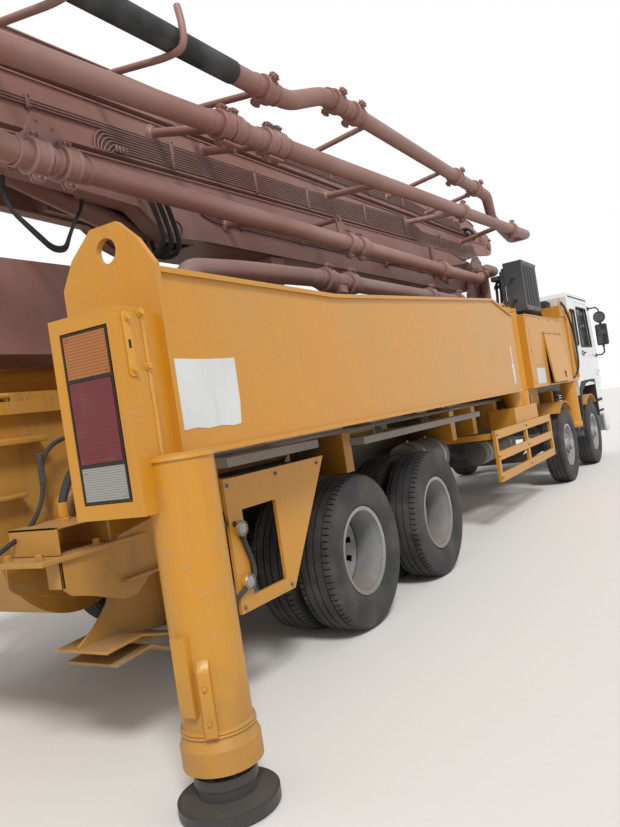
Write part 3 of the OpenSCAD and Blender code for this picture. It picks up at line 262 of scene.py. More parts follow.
paints = {
    "yellow": agedPaint("yellowPaint", rgb(0.56, 0.24, 0.012), rgb(0.52, 0.245, 0.025), dust=0.22, mud=0.3, chips=0.5,
                        streaks=0.2, gloss=0.33, concrete=0.12),
    # the frame paint also gets painted shade on its low middle parts
    "frame": agedPaint("framePaint", rgb(0.56, 0.24, 0.012), rgb(0.52, 0.245, 0.025), dust=0.25, mud=0.4, chips=0.6,
                       streaks=0.2, gloss=0.36, concrete=0.12, shadeInward=0.94),
    "lampBox": agedPaint("brushedYellow", rgb(0.62, 0.29, 0.03), rgb(0.6, 0.3, 0.05), dust=0.2, mud=0.3, chips=0.5,
                         streaks=0.2, gloss=0.36, concrete=0.12, lumps=5.0),
    # darker than the yellow: dirt, and painted shade on the hopper, its grate and its brackets
    "hopper": agedPaint("hopperShadedPaint", rgb(0.5, 0.225, 0.02), rgb(0.4, 0.2, 0.034), dust=0.3, chips=0.6, streaks=0.5,
                        gloss=0.5, concrete=0.35),
    "boom": agedPaint("boomPaint", rgb(0.25, 0.108, 0.085), rgb(0.3, 0.165, 0.14), dust=0.4, mud=0.15, chips=0.5,
                      streaks=0.3, gloss=0.46, concrete=0.12, dustTone=boomDust),
    "pipe": agedPaint("pipePaint", rgb(0.18, 0.083, 0.068), rgb(0.22, 0.13, 0.112), dust=0.4, mud=0.15, chips=0.9,
                      streaks=0.4, gloss=0.46, concrete=0.3, dustTone=boomDust),
    "chassis": agedPaint("chassisPaint", rgb(0.035, 0.035, 0.037), rgb(0.055, 0.053, 0.05), mud=0.6, chips=0.6,
                         streaks=0.2, gloss=0.5),
    "cab": agedPaint("cabPaint", rgb(0.74, 0.76, 0.75), rgb(0.66, 0.68, 0.67), dust=0.2, mud=0.4, chips=0.1,
                     streaks=0.1, gloss=0.24),
    "deck": agedPaint("deckPlate", rgb(0.2, 0.19, 0.175), rgb(0.26, 0.24, 0.21), dust=0.7, mud=0.3, chips=0.7,
                      streaks=0.3, gloss=0.6, concrete=0.5),
    "pump": agedPaint("pumpPaint", rgb(0.4, 0.2, 0.045), rgb(0.32, 0.2, 0.09), dust=0.6, mud=0.4, chips=0.6,
                      streaks=0.4, gloss=0.55, concrete=0.8),
    "cooler": agedPaint("coolerPaint", rgb(0.05, 0.054, 0.058), rgb(0.085, 0.087, 0.09), dust=0.35, mud=0.1,
                        chips=0.3, gloss=0.46),
    "hub": agedPaint("hubPaint", rgb(0.4, 0.4, 0.39), rgb(0.28, 0.27, 0.25), dust=0.35, chips=0.7, streaks=0.3,
                     gloss=0.4),
    "greased": agedPaint("greasedBlack", rgb(0.02, 0.022, 0.025), rgb(0.04, 0.042, 0.045), dust=0.12, mud=0.12,
                         chips=0.3, streaks=0.15, gloss=0.34),
    "label": agedPaint("blankLabel", rgb(0.66, 0.68, 0.67), rgb(0.55, 0.56, 0.55), dust=0.2, mud=0.1, chips=0.5,
                       streaks=0.3, dustTone=rgb(0.45, 0.42, 0.36)),
    # the twin rims are darker than the front rims: painted shade in their deep dish
    "rim": agedPaint("twinRimShadedPaint", rgb(0.29, 0.296, 0.305), rgb(0.21, 0.213, 0.216), dust=0.3, chips=0.5, streaks=0.25,
                     gloss=0.34),
    "engine": agedPaint("enginePaint", rgb(0.09, 0.09, 0.09), rgb(0.12, 0.11, 0.1), mud=0.8, chips=0.5, streaks=0.3,
                        gloss=0.55),
    "steel": bareMetal("dullSteel", rgb(0.42, 0.41, 0.39), rgb(0.16, 0.13, 0.1), rough=0.42, brushed=1.0),
    "tank": agedPaint("tankPaint", rgb(0.05, 0.05, 0.052), rgb(0.1, 0.098, 0.095), dust=0.4, chips=0.5, streaks=0.3,
                      gloss=0.4),
    "rimFront": agedPaint("rimFrontPaint", rgb(0.5, 0.505, 0.51), rgb(0.4, 0.4, 0.4), dust=0.25, mud=0.4,
                          streaks=0.25, gloss=0.32),
    # hub paint made near black for the nuts, hub and cap deep in the twin rim's dish: painted shade
    "rimDeep": agedPaint("twinHubShadedPaint", rgb(0.13, 0.13, 0.13), rgb(0.2, 0.195, 0.185), dust=0.4, chips=0.6,
                         streaks=0.3, gloss=0.45),
    "mirror": bareMetal("mirrorFace", rgb(0.2, 0.21, 0.21), rgb(0.12, 0.12, 0.12), rough=0.1),
    "chrome": bareMetal("rodChrome", rgb(0.72, 0.72, 0.73), rgb(0.35, 0.33, 0.3), rough=0.12),
    "bolt": bareMetal("boltSteel", rgb(0.3, 0.29, 0.27), rgb(0.12, 0.07, 0.04), rough=0.5),
    "tyre": oldRubber("tyreRubber", rgb(0.022, 0.022, 0.023), rgb(0.11, 0.1, 0.085), dust=0.6),
    "hose": oldRubber("hoseRubber", rgb(0.02, 0.02, 0.022), rgb(0.08, 0.075, 0.065)),
    "endHose": oldRubber("endHoseRubber", rgb(0.016, 0.019, 0.021), rgb(0.085, 0.092, 0.088), dust=0.85,
                         depth=0.0016),
    "plastic": oldRubber("blackPlastic", rgb(0.02, 0.02, 0.021), rgb(0.07, 0.066, 0.06), dust=0.35),
    "seal": oldRubber("sealRubber", rgb(0.012, 0.012, 0.012), rgb(0.04, 0.04, 0.04), dust=0.3),
    "glass": clearGlass("cabGlass", rgb(0.06, 0.08, 0.078), clear=0.5),
    "amber": lensPlastic("amberLens", rgb(0.33, 0.1, 0.006)),
    "red": lensPlastic("redLens", rgb(0.13, 0.001, 0.003), ribStep=0.016),
    "clear": lensPlastic("clearLens", rgb(0.27, 0.26, 0.235)),
}

nodePaints = {
    "chassis": ["chassis_rails", "axles", "knuckle_1_left", "knuckle_1_right", "knuckle_2_left", "knuckle_2_right"],
    "greased": ["rear_foot_left", "rear_foot_right", "front_foot_left", "front_foot_right"],
    "engine": ["engine"],
    "frame": ["subframe"],
    "yellow": ["side_guards", "rear_leg_left", "rear_leg_right", "front_leg_left", "front_leg_right"],
    "hopper": ["hopper", "hopper_grate"],
    "deck": ["deck"],
    "steel": ["agitator"],
    "tank": ["tanks"],
    "cab": ["cab_shell", "bumper", "door_left", "door_right"],
    "plastic": ["cab_interior", "mirrors"],
    "glass": ["cab_glass"],
    "boom": ["boom_rest", "deck_pipe", "turret", "arm_1", "arm_2", "arm_3", "lift_barrel", "arm_2_barrel",
             "arm_3_barrel"],
    "pump": ["pump_unit"],
    "cooler": ["cooler"],
    "endHose": ["end_hose"],
    "chrome": ["lift_rod", "arm_2_rod", "arm_3_rod"],
    "tyre": ["tyre_%d_%s" % (i, s) for i in (1, 2, 3, 4) for s in ("left", "right")],
    "rimFront": ["rim_%d_%s" % (i, s) for i in (1, 2) for s in ("left", "right")],
    "rim": ["rim_%d_%s" % (i, s) for i in (3, 4) for s in ("left", "right")],
}
for finish, names in nodePaints.items():
    for name in names:
        for slot in nodes[name].material_slots:
            slot.material = paints[finish]
print("paints on", len(nodes), "nodes")

makeCamera(camera)


def makeStudio(want):
    bpy.ops.object.select_all(action="DESELECT")
    bpy.ops.mesh.primitive_plane_add(size=want["floorSize"], location=(0, 0, 0))
    floor = bpy.context.object
    floor.name = "studioFloor"
    p = Paint("floorPaint")
    speckle = p.noise(want["speckleScale"], 3)
    p.put(colour=p.mixed(speckle * 0.08, want["floorTone"], want["floorSpeckle"]), roughness=0.9)
    floor.data.materials.append(p.material)
    world = bpy.data.worlds.new("studioWorld")
    bpy.context.scene.world = world
    world.use_nodes = True
    sky = Paint("studioSky", world)
    seen = sky.node("ShaderNodeLightPath", {}, {}, "Is Camera Ray")
    for ray in ("Is Glossy Ray", "Is Transmission Ray"):
        seen = seen.biggest(sky.node("ShaderNodeLightPath", {}, {}, ray))
    level = want["fillLevel"] + seen * (want["backLevel"] - want["fillLevel"])
    sky.put(sky=rgb(1, 1, 1), strength=level)
    lamp = bpy.data.lights.new("softSun", "SUN")
    lamp.energy, lamp.angle = want["sunLevel"], want["sunSoftness"]
    holder = bpy.data.objects.new("softSun", lamp)
    holder.rotation_euler = want["sunTurn"]
    bpy.context.scene.collection.objects.link(holder)


makeStudio(studio)
bpy.context.scene.view_settings.view_transform = "Standard"

# modelling helpers


def startClean():
    if bpy.context.mode != "OBJECT":
        bpy.ops.object.mode_set(mode="OBJECT")
    bpy.ops.object.select_all(action="DESELECT")


def edit(kind="FACE", everything=False):
    bpy.ops.object.mode_set(mode="EDIT")
    bpy.ops.mesh.select_mode(type=kind)
    bpy.ops.mesh.select_all(action="SELECT" if everything else "DESELECT")


def pickFaces(test):
    shape = bmesh.from_edit_mesh(bpy.context.object.data)
    bpy.ops.mesh.select_all(action="DESELECT")
    for face in shape.faces:
        face.select_set(test(face.calc_center_median(), face.normal))
    bmesh.update_edit_mesh(bpy.context.object.data)


def pickEdges(test):
    shape = bmesh.from_edit_mesh(bpy.context.object.data)
    bpy.ops.mesh.select_all(action="DESELECT")
    for line in shape.edges:
        line.select_set(test(line.verts[0].co, line.verts[1].co))
    bmesh.update_edit_mesh(bpy.context.object.data)


def insetPicked(test, rim, push=None):
    # the picked faces of a closed part get a rim, and what is inside it may be pushed in or out
    edit()
    pickFaces(test)
    bpy.ops.mesh.inset(thickness=rim)
    if push:
        bpy.ops.mesh.extrude_region_move(TRANSFORM_OT_translate={"value": push})
    bpy.ops.object.mode_set(mode="OBJECT")


def block(low, high, edge=0.004, segments=1):
    startClean()
    middle = [(a + b) / 2 for a, b in zip(low, high)]
    bpy.ops.mesh.primitive_cube_add(size=1, location=middle)
    made = bpy.context.object
    made.scale = [abs(b - a) for a, b in zip(low, high)]
    bpy.ops.object.transform_apply(location=False, rotation=False, scale=True)
    if edge:
        edit("EDGE", True)
        bpy.ops.mesh.bevel(offset=edge, segments=segments, affect="EDGES")
        bpy.ops.object.mode_set(mode="OBJECT")
    return made


def rod(start, end, radius, sides=20, edge=0.0):
    startClean()
    start, end = Vector(start), Vector(end)
    turn = (end - start).to_track_quat("Z", "Y")
    bpy.ops.mesh.primitive_cylinder_add(vertices=sides, radius=radius, depth=(end - start).length,
                                        location=(start + end) / 2, rotation=turn.to_euler())
    if edge:
        edit()
        pickFaces(lambda middle, normal: abs(normal.z) > 0.9)
        bpy.ops.mesh.bevel(offset=edge, segments=1, affect="EDGES")
        bpy.ops.object.mode_set(mode="OBJECT")
    return bpy.context.object


def spun(profile, at, axis, steps=32, turn=360):
    # a profile of (radius, height) pairs, extruded point by point and spun about its axis
    startClean()
    bpy.ops.mesh.primitive_plane_add(size=0.1, location=(0, 0, 0))
    edit("VERT", True)
    bpy.ops.mesh.merge(type="CENTER")
    here = Vector((profile[0][0], 0, profile[0][1]))
    bpy.ops.transform.translate(value=here)
    for radius, height in profile[1:]:
        there = Vector((radius, 0, height))
        bpy.ops.mesh.extrude_region_move(TRANSFORM_OT_translate={"value": there - here})
        here = there
    bpy.ops.mesh.select_all(action="SELECT")
    bpy.ops.mesh.spin(steps=steps, angle=math.radians(turn), center=(0, 0, 0), axis=(0, 0, 1))
    bpy.ops.mesh.select_all(action="SELECT")
    bpy.ops.mesh.remove_doubles(threshold=0.0001)
    bpy.ops.mesh.normals_make_consistent(inside=False)
    bpy.ops.object.mode_set(mode="OBJECT")
    made = bpy.context.object
    made.matrix_world = Matrix.Translation(at) @ Vector(axis).to_track_quat("Z", "Y").to_matrix().to_4x4()
    bpy.ops.object.transform_apply(location=True, rotation=True, scale=True)
    return made


def roundedPath(points, reach, steps=5):
    path = [Vector(points[0])]
    for before, corner, after in zip(points, points[1:], points[2:]):
        corner = Vector(corner)
        back, on = Vector(before) - corner, Vector(after) - corner
        near = min(reach, back.length * 0.49, on.length * 0.49)
        a, b = corner + back.normalized() * near, corner + on.normalized() * near
        for k in range(steps + 1):
            t = k / steps
            path.append(a * (1 - t) ** 2 + corner * (2 * t * (1 - t)) + b * t * t)
    path.append(Vector(points[-1]))
    return path


def tube(points, radius, reach=0.06, sides=8, steps=5):
    startClean()
    line = bpy.data.curves.new("tube", "CURVE")
    line.dimensions = "3D"
    path = roundedPath(points, reach, steps)
    run = line.splines.new("POLY")
    run.points.add(len(path) - 1)
    for point, spot in zip(run.points, path):
        point.co = (*spot, 1)
    line.bevel_depth, line.bevel_resolution, line.use_fill_caps = radius, max(0, sides // 2 - 2), True
    made = bpy.data.objects.new("tube", line)
    bpy.context.scene.collection.objects.link(made)
    made.select_set(True)
    bpy.context.view_layer.objects.active = made
    bpy.ops.object.convert(target="MESH")
    return bpy.context.object


def plate(outline, axis, low, high, edge=0.0):
    # a flat outline filled, extruded from low to high along X, Y or Z
    startClean()
    bpy.ops.mesh.primitive_circle_add(vertices=len(outline), radius=1, fill_type="NGON")
    made = bpy.context.object
    spots = {0: lambda u, v: (low, u, v), 1: lambda u, v: (u, low, v), 2: lambda u, v: (u, v, low)}[axis]
    for vertex, (u, v) in zip(made.data.vertices, outline):
        vertex.co = spots(u, v)
    edit("FACE", True)
    along = [0, 0, 0]
    along[axis] = high - low
    bpy.ops.mesh.extrude_region_move(TRANSFORM_OT_translate={"value": along})
    bpy.ops.mesh.select_all(action="SELECT")
    bpy.ops.mesh.normals_make_consistent(inside=False)
    if edge:
        bpy.ops.mesh.select_mode(type="EDGE")
        bpy.ops.mesh.select_all(action="SELECT")
        bpy.ops.mesh.bevel(offset=edge, segments=1, affect="EDGES")
    bpy.ops.object.mode_set(mode="OBJECT")
    return made


def copies(master, places, keep=False):
    made = []
    for place in places:
        twin = master.copy()
        twin.data = master.data.copy()
        bpy.context.scene.collection.objects.link(twin)
        twin.matrix_world = place @ master.matrix_world
        made.append(twin)
    if not keep:
        bpy.data.objects.remove(master)
    return made


def moved(x=0, y=0, z=0):
    return Matrix.Translation((x, y, z))


def pointing(at, axis, roll=0.0):
    # puts a thing drawn along Z at a place, along another axis
    turn = Vector(axis).to_track_quat("Z", "Y").to_matrix().to_4x4()
    return Matrix.Translation(at) @ turn @ Matrix.Rotation(roll, 4, "Z")


def bolts(spots, axis, size):
    # hexagon heads on washers, modelled once and copied
    head = rod((0, 0, size * 0.15), (0, 0, size * 0.85), size * 0.56, 6)
    edit()
    pickFaces(lambda middle, normal: normal.z > 0.9)
    bpy.ops.mesh.inset(thickness=size * 0.09, depth=size * 0.07)
    bpy.ops.object.mode_set(mode="OBJECT")
    washer = rod((0, 0, -size * 0.05), (0, 0, size * 0.16), size * 0.8, 12)
    master = mergedParts([head, washer])
    return copies(master, [pointing(s, axis, 0.4 * i) for i, s in enumerate(spots)])


def mergedParts(parts):
    startClean()
    for part in parts:
        part.select_set(True)
    bpy.context.view_layer.objects.active = parts[0]
    if len(parts) > 1:
        bpy.ops.object.join()
    bpy.ops.object.transform_apply(location=True, rotation=True, scale=True)
    return bpy.context.object


def asPiece(name, parts, body, finish, smooth=35, place=None):
    made = mergedParts(parts)
    if place is not None:
        made.matrix_world = place
        bpy.ops.object.transform_apply(location=True, rotation=True, scale=True)
    made.name = made.data.name = name
    made.data.materials.clear()
    made.data.materials.append(paints[finish])
    bpy.ops.object.shade_smooth_by_angle(angle=math.radians(smooth))
    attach(made, body)
    return made


def otherSide(piece, name, body):
    # the same piece on the left, its faces turned outwards again
    startClean()
    twin = piece.copy()
    twin.data = piece.data.copy()
    bpy.context.scene.collection.objects.link(twin)
    twin.parent = None
    twin.matrix_world = Matrix.Scale(-1, 4, (0, 1, 0))
    twin.select_set(True)
    bpy.context.view_layer.objects.active = twin
    bpy.ops.object.transform_apply(location=True, rotation=True, scale=True)
    edit("FACE", True)
    bpy.ops.mesh.flip_normals()
    bpy.ops.object.mode_set(mode="OBJECT")
    twin.name = twin.data.name = name
    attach(twin, body)
    return twin


def bothPieces(name, parts, body, finish, smooth=35, place=None):
    # a piece on the right and its twin on the left, each on its own side's body unless the truck holds both
    rides = [body if body == "truck" else "%s_%s" % (body, side) for side in ("right", "left")]
    right = asPiece(name + "_right", parts, rides[0], finish, smooth, place)
    return right, otherSide(right, name + "_left", rides[1])


def around(count, radius, start=0.0):
    return [(radius * math.cos(start + math.tau * k / count), radius * math.sin(start + math.tau * k / count))
            for k in range(count)]


def line(start, end, count):
    start, end = Vector(start), Vector(end)
    return [start.lerp(end, k / max(1, count - 1)) for k in range(count)]


# road wheels

tyre = {
    "outer": 0.525, "half": 0.14, "around": 76, "bead": (0.291, 0.1), "shoulder": 0.086, "treadFoot": 0.502,
    "grooveDepth": 0.013, "grooves": [(0.077, 0.088), (0.02, 0.031)], "slot": 0.0048, "slotShare": 0.16,
    "side": [(0.300, 0.107), (0.312, 0.121), (0.345, 0.1335), (0.395, 0.1392), (0.415, 0.14), (0.45, 0.1375),
             (0.482, 0.1325), (0.502, 0.1275), (0.5125, 0.119), (0.5195, 0.088), (0.521, 0.077), (0.5235, 0.031),
             (0.5242, 0.02)],  # radius and half width, bead to tread
}


def makeTyre(want, shoulderSlots):
    side, (beadRadius, beadHalf), shoulder = want["side"], want["bead"], want["shoulder"]
    profile = [(r, -a) for r, a in side] + [(r, a) for r, a in reversed(side)]
    profile += [(beadRadius, beadHalf), (beadRadius, -beadHalf), (side[0][0], -side[0][1])]
    made = spun(profile, (0, 0, 0), (0, -1, 0), want["around"])
    step = math.tau / want["around"]
    edit("EDGE")
    if shoulderSlots:
        pickEdges(lambda a, b: abs(abs(a.y) - abs(b.y)) > 0.004 and min(abs(a.y), abs(b.y)) > shoulder
                  and min(math.hypot(a.x, a.z), math.hypot(b.x, b.z)) > want["treadFoot"] - 0.002)
        bpy.ops.mesh.bevel(offset=want["slot"], segments=1, affect="EDGES")
    bpy.ops.mesh.select_mode(type="FACE")

    def isGroove(middle, normal):
        reach, across = math.hypot(middle.x, middle.z), abs(middle.y)
        if reach < want["treadFoot"]:
            return False
        if any(low < across < high for low, high in want["grooves"]):
            return reach > want["treadFoot"] + 0.008
        turn = math.atan2(middle.z, middle.x) / step
        return shoulderSlots and across > shoulder and abs(turn - round(turn)) < want["slotShare"]

    pickFaces(isGroove)
    bpy.ops.mesh.extrude_region_move(TRANSFORM_OT_translate={"value": (0, 0, 0)})
    shrink = 1 - want["grooveDepth"] / want["outer"]
    bpy.ops.transform.resize(value=(shrink, 1, shrink), center_override=(0, 0, 0))
    bpy.ops.object.mode_set(mode="OBJECT")
    return made


twinRim = {  # profiles of radius and depth
    "barrel": [(0.268, -0.1), (0.27, -0.112), (0.28, -0.117), (0.297, -0.117), (0.2978, -0.112), (0.2978, -0.106),
               (0.286, -0.1045), (0.2855, 0.1045), (0.2978, 0.106), (0.2978, 0.117), (0.278, 0.117), (0.268, 0.1),
               (0.262, 0.088), (0.2615, -0.07), (0.268, -0.085), (0.268, -0.1)],
    "disc": [(0.262, 0.1065), (0.24, 0.118), (0.178, 0.152), (0.15, 0.1685), (0.104, 0.1685)],
    "hub": [(0.0, 0.088), (0.07, 0.09), (0.08, 0.098), (0.082, 0.112), (0.1, 0.116), (0.104, 0.122), (0.104, 0.24),
            (0.0, 0.24)],
    "around": 40, "middle": 0.1675, "thick": 0.011, "handHoles": (0.185, 0.235), "holeRim": 0.012,
}


def makeTwinRim(want):
    middle, (nearest, furthest) = want["middle"], want["handHoles"]
    parts = [spun(want["barrel"], (0, d, 0), (0, 1, 0), want["around"]) for d in (0, 2 * middle)]
    step = math.tau / want["around"]
    for way in (1, -1):
        profile = [(r, middle + way * (a - middle)) for r, a in want["disc"]]
        disc = spun(profile, (0, 0, 0), (0, 1, 0), want["around"])
        edit()
        pickFaces(lambda spot, normal: nearest < math.hypot(spot.x, spot.z) < furthest
                  and int(math.floor(math.atan2(spot.z, spot.x) / step)) % 4 in (0, 1))
        bpy.ops.mesh.inset(thickness=want["holeRim"])
        bpy.ops.mesh.delete(type="FACE")
        bpy.ops.object.mode_set(mode="OBJECT")
        thicken = disc.modifiers.new("plate", "SOLIDIFY")
        thicken.thickness, thicken.offset = want["thick"], 0
        bpy.ops.object.modifier_apply(modifier="plate")
        parts.append(disc)
    return mergedParts(parts)


wheel = {
    "nutCircle": 0.147, "nutCount": 10, "nutSize": 0.03, "twinStep": 0.335, "capBolts": 8, "capBoltSize": 0.014,
    "capReach": 0.07,
    "cap": [(0, 0.012), (0.035, 0.011), (0.0602, 0.006), (0.072, -0.004), (0.072, -0.03), (0.066, -0.034),
            (0, -0.034)],
    # where nuts, cap and cap bolts stand from the tyre's middle, and how far out the bolts are
    "single": {"nuts": -0.0605, "cap": -0.152, "bolts": -0.11, "ring": 0.009},
    "twin": {"nuts": 0.169, "cap": 0.089, "bolts": 0.116, "ring": 0.02},
}


def replaceOn(pair, node):
    for piece, side in zip(pair, ("right", "left")):
        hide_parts("%s_%s" % (node, side))


def dressWheels(want):
    steering, driving = makeTyre(tyre, False), makeTyre(tyre, True)
    deepRim = makeTwinRim(twinRim)
    for number in (1, 2, 3, 4):
        twin = number > 2
        fit = want["twin" if twin else "single"]
        body = "wheel_%d" % number
        low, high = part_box("tyre_%d_right" % number)
        x, y, z = (low.x + high.x) / 2, low.y + tyre["half"], (low.z + high.z) / 2
        offsets = (0.0, want["twinStep"]) if twin else (0.0,)
        rings = copies(driving if twin else steering, [moved(x, y + d, z) for d in offsets], True)
        replaceOn(bothPieces("roadTyre_%d" % number, rings, body, "tyre", 28), "tyre_%d" % number)
        parts = bolts([(x + u, y + fit["nuts"], z + v) for u, v in around(want["nutCount"], want["nutCircle"], 0.314)],
                      (0, -1, 0), want["nutSize"])
        if twin:
            rims = copies(deepRim, [moved(x, y, z)], True)
            # twin rims take the darker rim paint, painted shade in the dish
            replaceOn(bothPieces("twinRim_%d" % number, rims, body, "rim", 28), "rim_%d" % number)
            parts.append(spun(twinRim["hub"], (x, y, z), (0, 1, 0), 36))
        parts.append(spun(want["cap"], (x, y + fit["cap"], z), (0, -1, 0), 36))
        parts += bolts([(x + u, y + fit["bolts"], z + v)
                        for u, v in around(want["capBolts"], want["capReach"] + fit["ring"])], (0, -1, 0),
                       want["capBoltSize"])
        # twin nuts, hub and cap take the near black finish, painted shade in the dish
        bothPieces("wheelNuts_%d" % number, parts, body, "rimDeep" if twin else "hub")
    for master in (steering, driving, deepRim):
        bpy.data.objects.remove(master)
    print("wheels dressed")


dressWheels(wheel)

# rear outriggers: lamps, straps, bolts and the blank label

rearLeg = {
    "turn": math.radians(2.95), "hinge": (0.9, -1.08), "side": -1.2632,
    "lampY": (-1.198, -0.967), "lampFace": -5.9165, "surround": 0.006, "lensTeeth": 14,
    "lamps": [("amber", 1.752, 1.93), ("red", 1.417, 1.744), ("clear", 1.27, 1.409)],
    "strap": [(-5.886, 1.727), (-5.86, 1.727), (-5.852, 1.737), (-5.852, 1.968), (-5.86, 1.978), (-5.886, 1.978),
              (-5.894, 1.968), (-5.894, 1.737)],
    "link": (-5.812, 1.262),  # the pin with its split link
    "label": [(-5.594, 1.803), (-5.594, 1.497), (-5.48, 1.503), (-5.4, 1.494), (-5.3, 1.499), (-5.21, 1.491),
              (-5.148, 1.496), (-5.13, 1.6), (-5.126, 1.806), (-5.35, 1.8)],
    "labelY": (-1.2203, -1.2222),
}

jack = {
    "tube": (-5.705, -1.278), "out": Vector((-0.876, -0.482, 0)), "coverReach": 0.172, "coverBolts": (0.40, 0.53),
    "cover": [(0.128, 0.34), (0.172, 0.34), (0.172, 0.588), (0.146, 0.632), (0.128, 0.632)],
    "beads": [(0.3325, 0.1405), (0.345, 0.139)],
    "collar": [(0.138, 1.392), (0.149, 1.392), (0.146, 1.404), (0.139, 1.408)],
    "footBolts": (8, 0.104, 0.1585), "wiper": [(0.0925, 0.178), (0.098, 0.177), (0.101, 0.17), (0.099, 0.158),
                                               (0.0925, 0.158)],
    "footRim": [(0.13, 0.0545), (0.2044, 0.0545), (0.2049, 0.048), (0.2049, 0.02), (0.196, 0.0125), (0.19, 0.014),
                (0.19, 0.03), (0.13, 0.05)],
}


def turnedLeg(want):
    x, y = want["hinge"]
    return moved(x, y) @ Matrix.Rotation(want["turn"], 4, "Z") @ moved(-x, -y)


def ribbedLens(y0, y1, z0, z1, face, teeth):
    outline = [(face + 0.004, z0), (face - 0.0035, z0)]
    for k in range(teeth):
        low, high = (z0 + (z1 - z0) * (k + share) / teeth for share in (0.3, 1))
        outline += [(face - 0.0056, low), (face - 0.0035, high)]
    return plate(outline + [(face + 0.004, z1)], 1, y0, y1)


def dressLamps(want, spin):
    (y0, y1), face, wall = want["lampY"], want["lampFace"], want["surround"]
    surround = []  # black, with a recess for each lens
    for tone, z0, z1 in want["lamps"]:
        surround.append(block((face - wall, y0 - wall, z0 - 0.004), (face + 0.012, y1 + wall, z1 + 0.004), 0.0))
        insetPicked(lambda middle, normal: normal.x < -0.9, wall, (0.005, 0, 0))
    bothPieces("lampSurround", surround, "rear_leg", "seal", place=spin)
    for tone, z0, z1 in want["lamps"]:
        low, high = (y0 + 0.004, z0 + 0.003), (y1 - 0.004, z1 - 0.003)
        if tone == "red":
            lens = block((face - 0.0062, *low), (face + 0.004, *high), 0.0025, 2)
        else:
            lens = ribbedLens(low[0], high[0], low[1], high[1], face, want["lensTeeth"])
        screws = [rod((face - 0.009, y, z), (face, y, z), 0.005, 10, 0.0015)
                  for y, z in ((y0 + 0.022, z0 + 0.02), (y1 - 0.022, z1 - 0.02))]
        bothPieces("lens_" + tone, [lens] + screws, "rear_leg", tone, 20, spin)


def dressLampBox(want, spin):
    # strap plate with its slot, edge bolts, the pin with its split link
    side, (x, z) = want["side"], want["link"]
    parts = [plate(want["strap"], 1, side, side - 0.006, 0.001)]
    for spots, size in (([(-5.873, side - 0.006, 1.752), (-5.873, side - 0.006, 1.95)], 0.017),
                        ([(-5.79, side - 0.001, 1.765), (-5.79, side - 0.001, 1.975)], 0.022),
                        ([(x, side, z), (x, side - 0.016, z)], 0.03)):
        parts += bolts(spots, (0, -1, 0), size)
    parts += [rod((x, side + 0.002, z), (x, side - 0.052, z), 0.009, 12, 0.002),
              tube([(x, side - 0.03, z + 0.02), (x + 0.02, side - 0.04, z + 0.028), (x, side - 0.045, z + 0.056),
                    (x - 0.02, side - 0.04, z + 0.028), (x, side - 0.03, z - 0.019)], 0.005, 0.02, 8),
              block((-5.79, side + 0.001, 1.23), (-5.772, side - 0.005, 1.995), 0.002),
              rod((-5.83, side - 0.012, 1.3), (-5.83, side, 1.3), 0.016, 6, 0.002)]
    bothPieces("lampBoxStrap", parts, "rear_leg", "lampBox", place=spin)
    # a dark plate in the strap's slot: painted shade in the hole
    slot = block((-5.8805, side - 0.0064, 1.835), (-5.8655, side - 0.0055, 1.868), 0.0003)
    bothPieces("strapSlot", [slot], "rear_leg", "seal", place=spin)


def dressJack(want, spin):
    # cover strip on the jack tube, weld beads round its collars
    (x, y), out = want["tube"], want["out"]
    cover = plate(want["cover"], 1, -0.024, 0.024, 0.003)
    cover.matrix_world = moved(x, y) @ Matrix.Rotation(math.atan2(out.y, out.x), 4, "Z")
    head = Vector((x, y, 0)) + out * want["coverReach"]
    parts = [cover] + bolts([head + Vector((0, 0, z)) for z in want["coverBolts"]], out, 0.014)
    beads = [[(r + 0.012, z - 0.004), (r + 0.009, z + 0.004), (r, z + 0.009), (r - 0.004, z - 0.004)]
             for z, r in want["beads"]]
    parts += [spun(profile, (x, y, 0), (0, 0, 1), 48) for profile in beads + [want["collar"]]]
    bothPieces("jackTubeTrim", parts, "rear_leg", "yellow", place=spin)
    # flange bolts, a wiper ring and a turned rim on the jack's foot
    spot = spin @ Vector((x, y, 0))
    count, reach, z = want["footBolts"]
    parts = bolts([(spot.x + u, spot.y + v, z) for u, v in around(count, reach, 0.2)], (0, 0, 1), 0.02)
    parts += [spun(want["wiper"], spot, (0, 0, 1), 40), spun(want["footRim"], spot, (0, 0, 1), 56)]
    bothPieces("footRings", parts, "rear_foot", "greased")


def dressRearLegs(want):
    spin = turnedLeg(want)
    dressLamps(want, spin)
    dressLampBox(want, spin)
    dressJack(jack, spin)
    bothPieces("blankLabel", [plate(want["label"], 1, *want["labelY"])], "rear_leg", "label",
               place=spin)
    print("rear outriggers dressed")


dressRearLegs(rearLeg)

# front outriggers

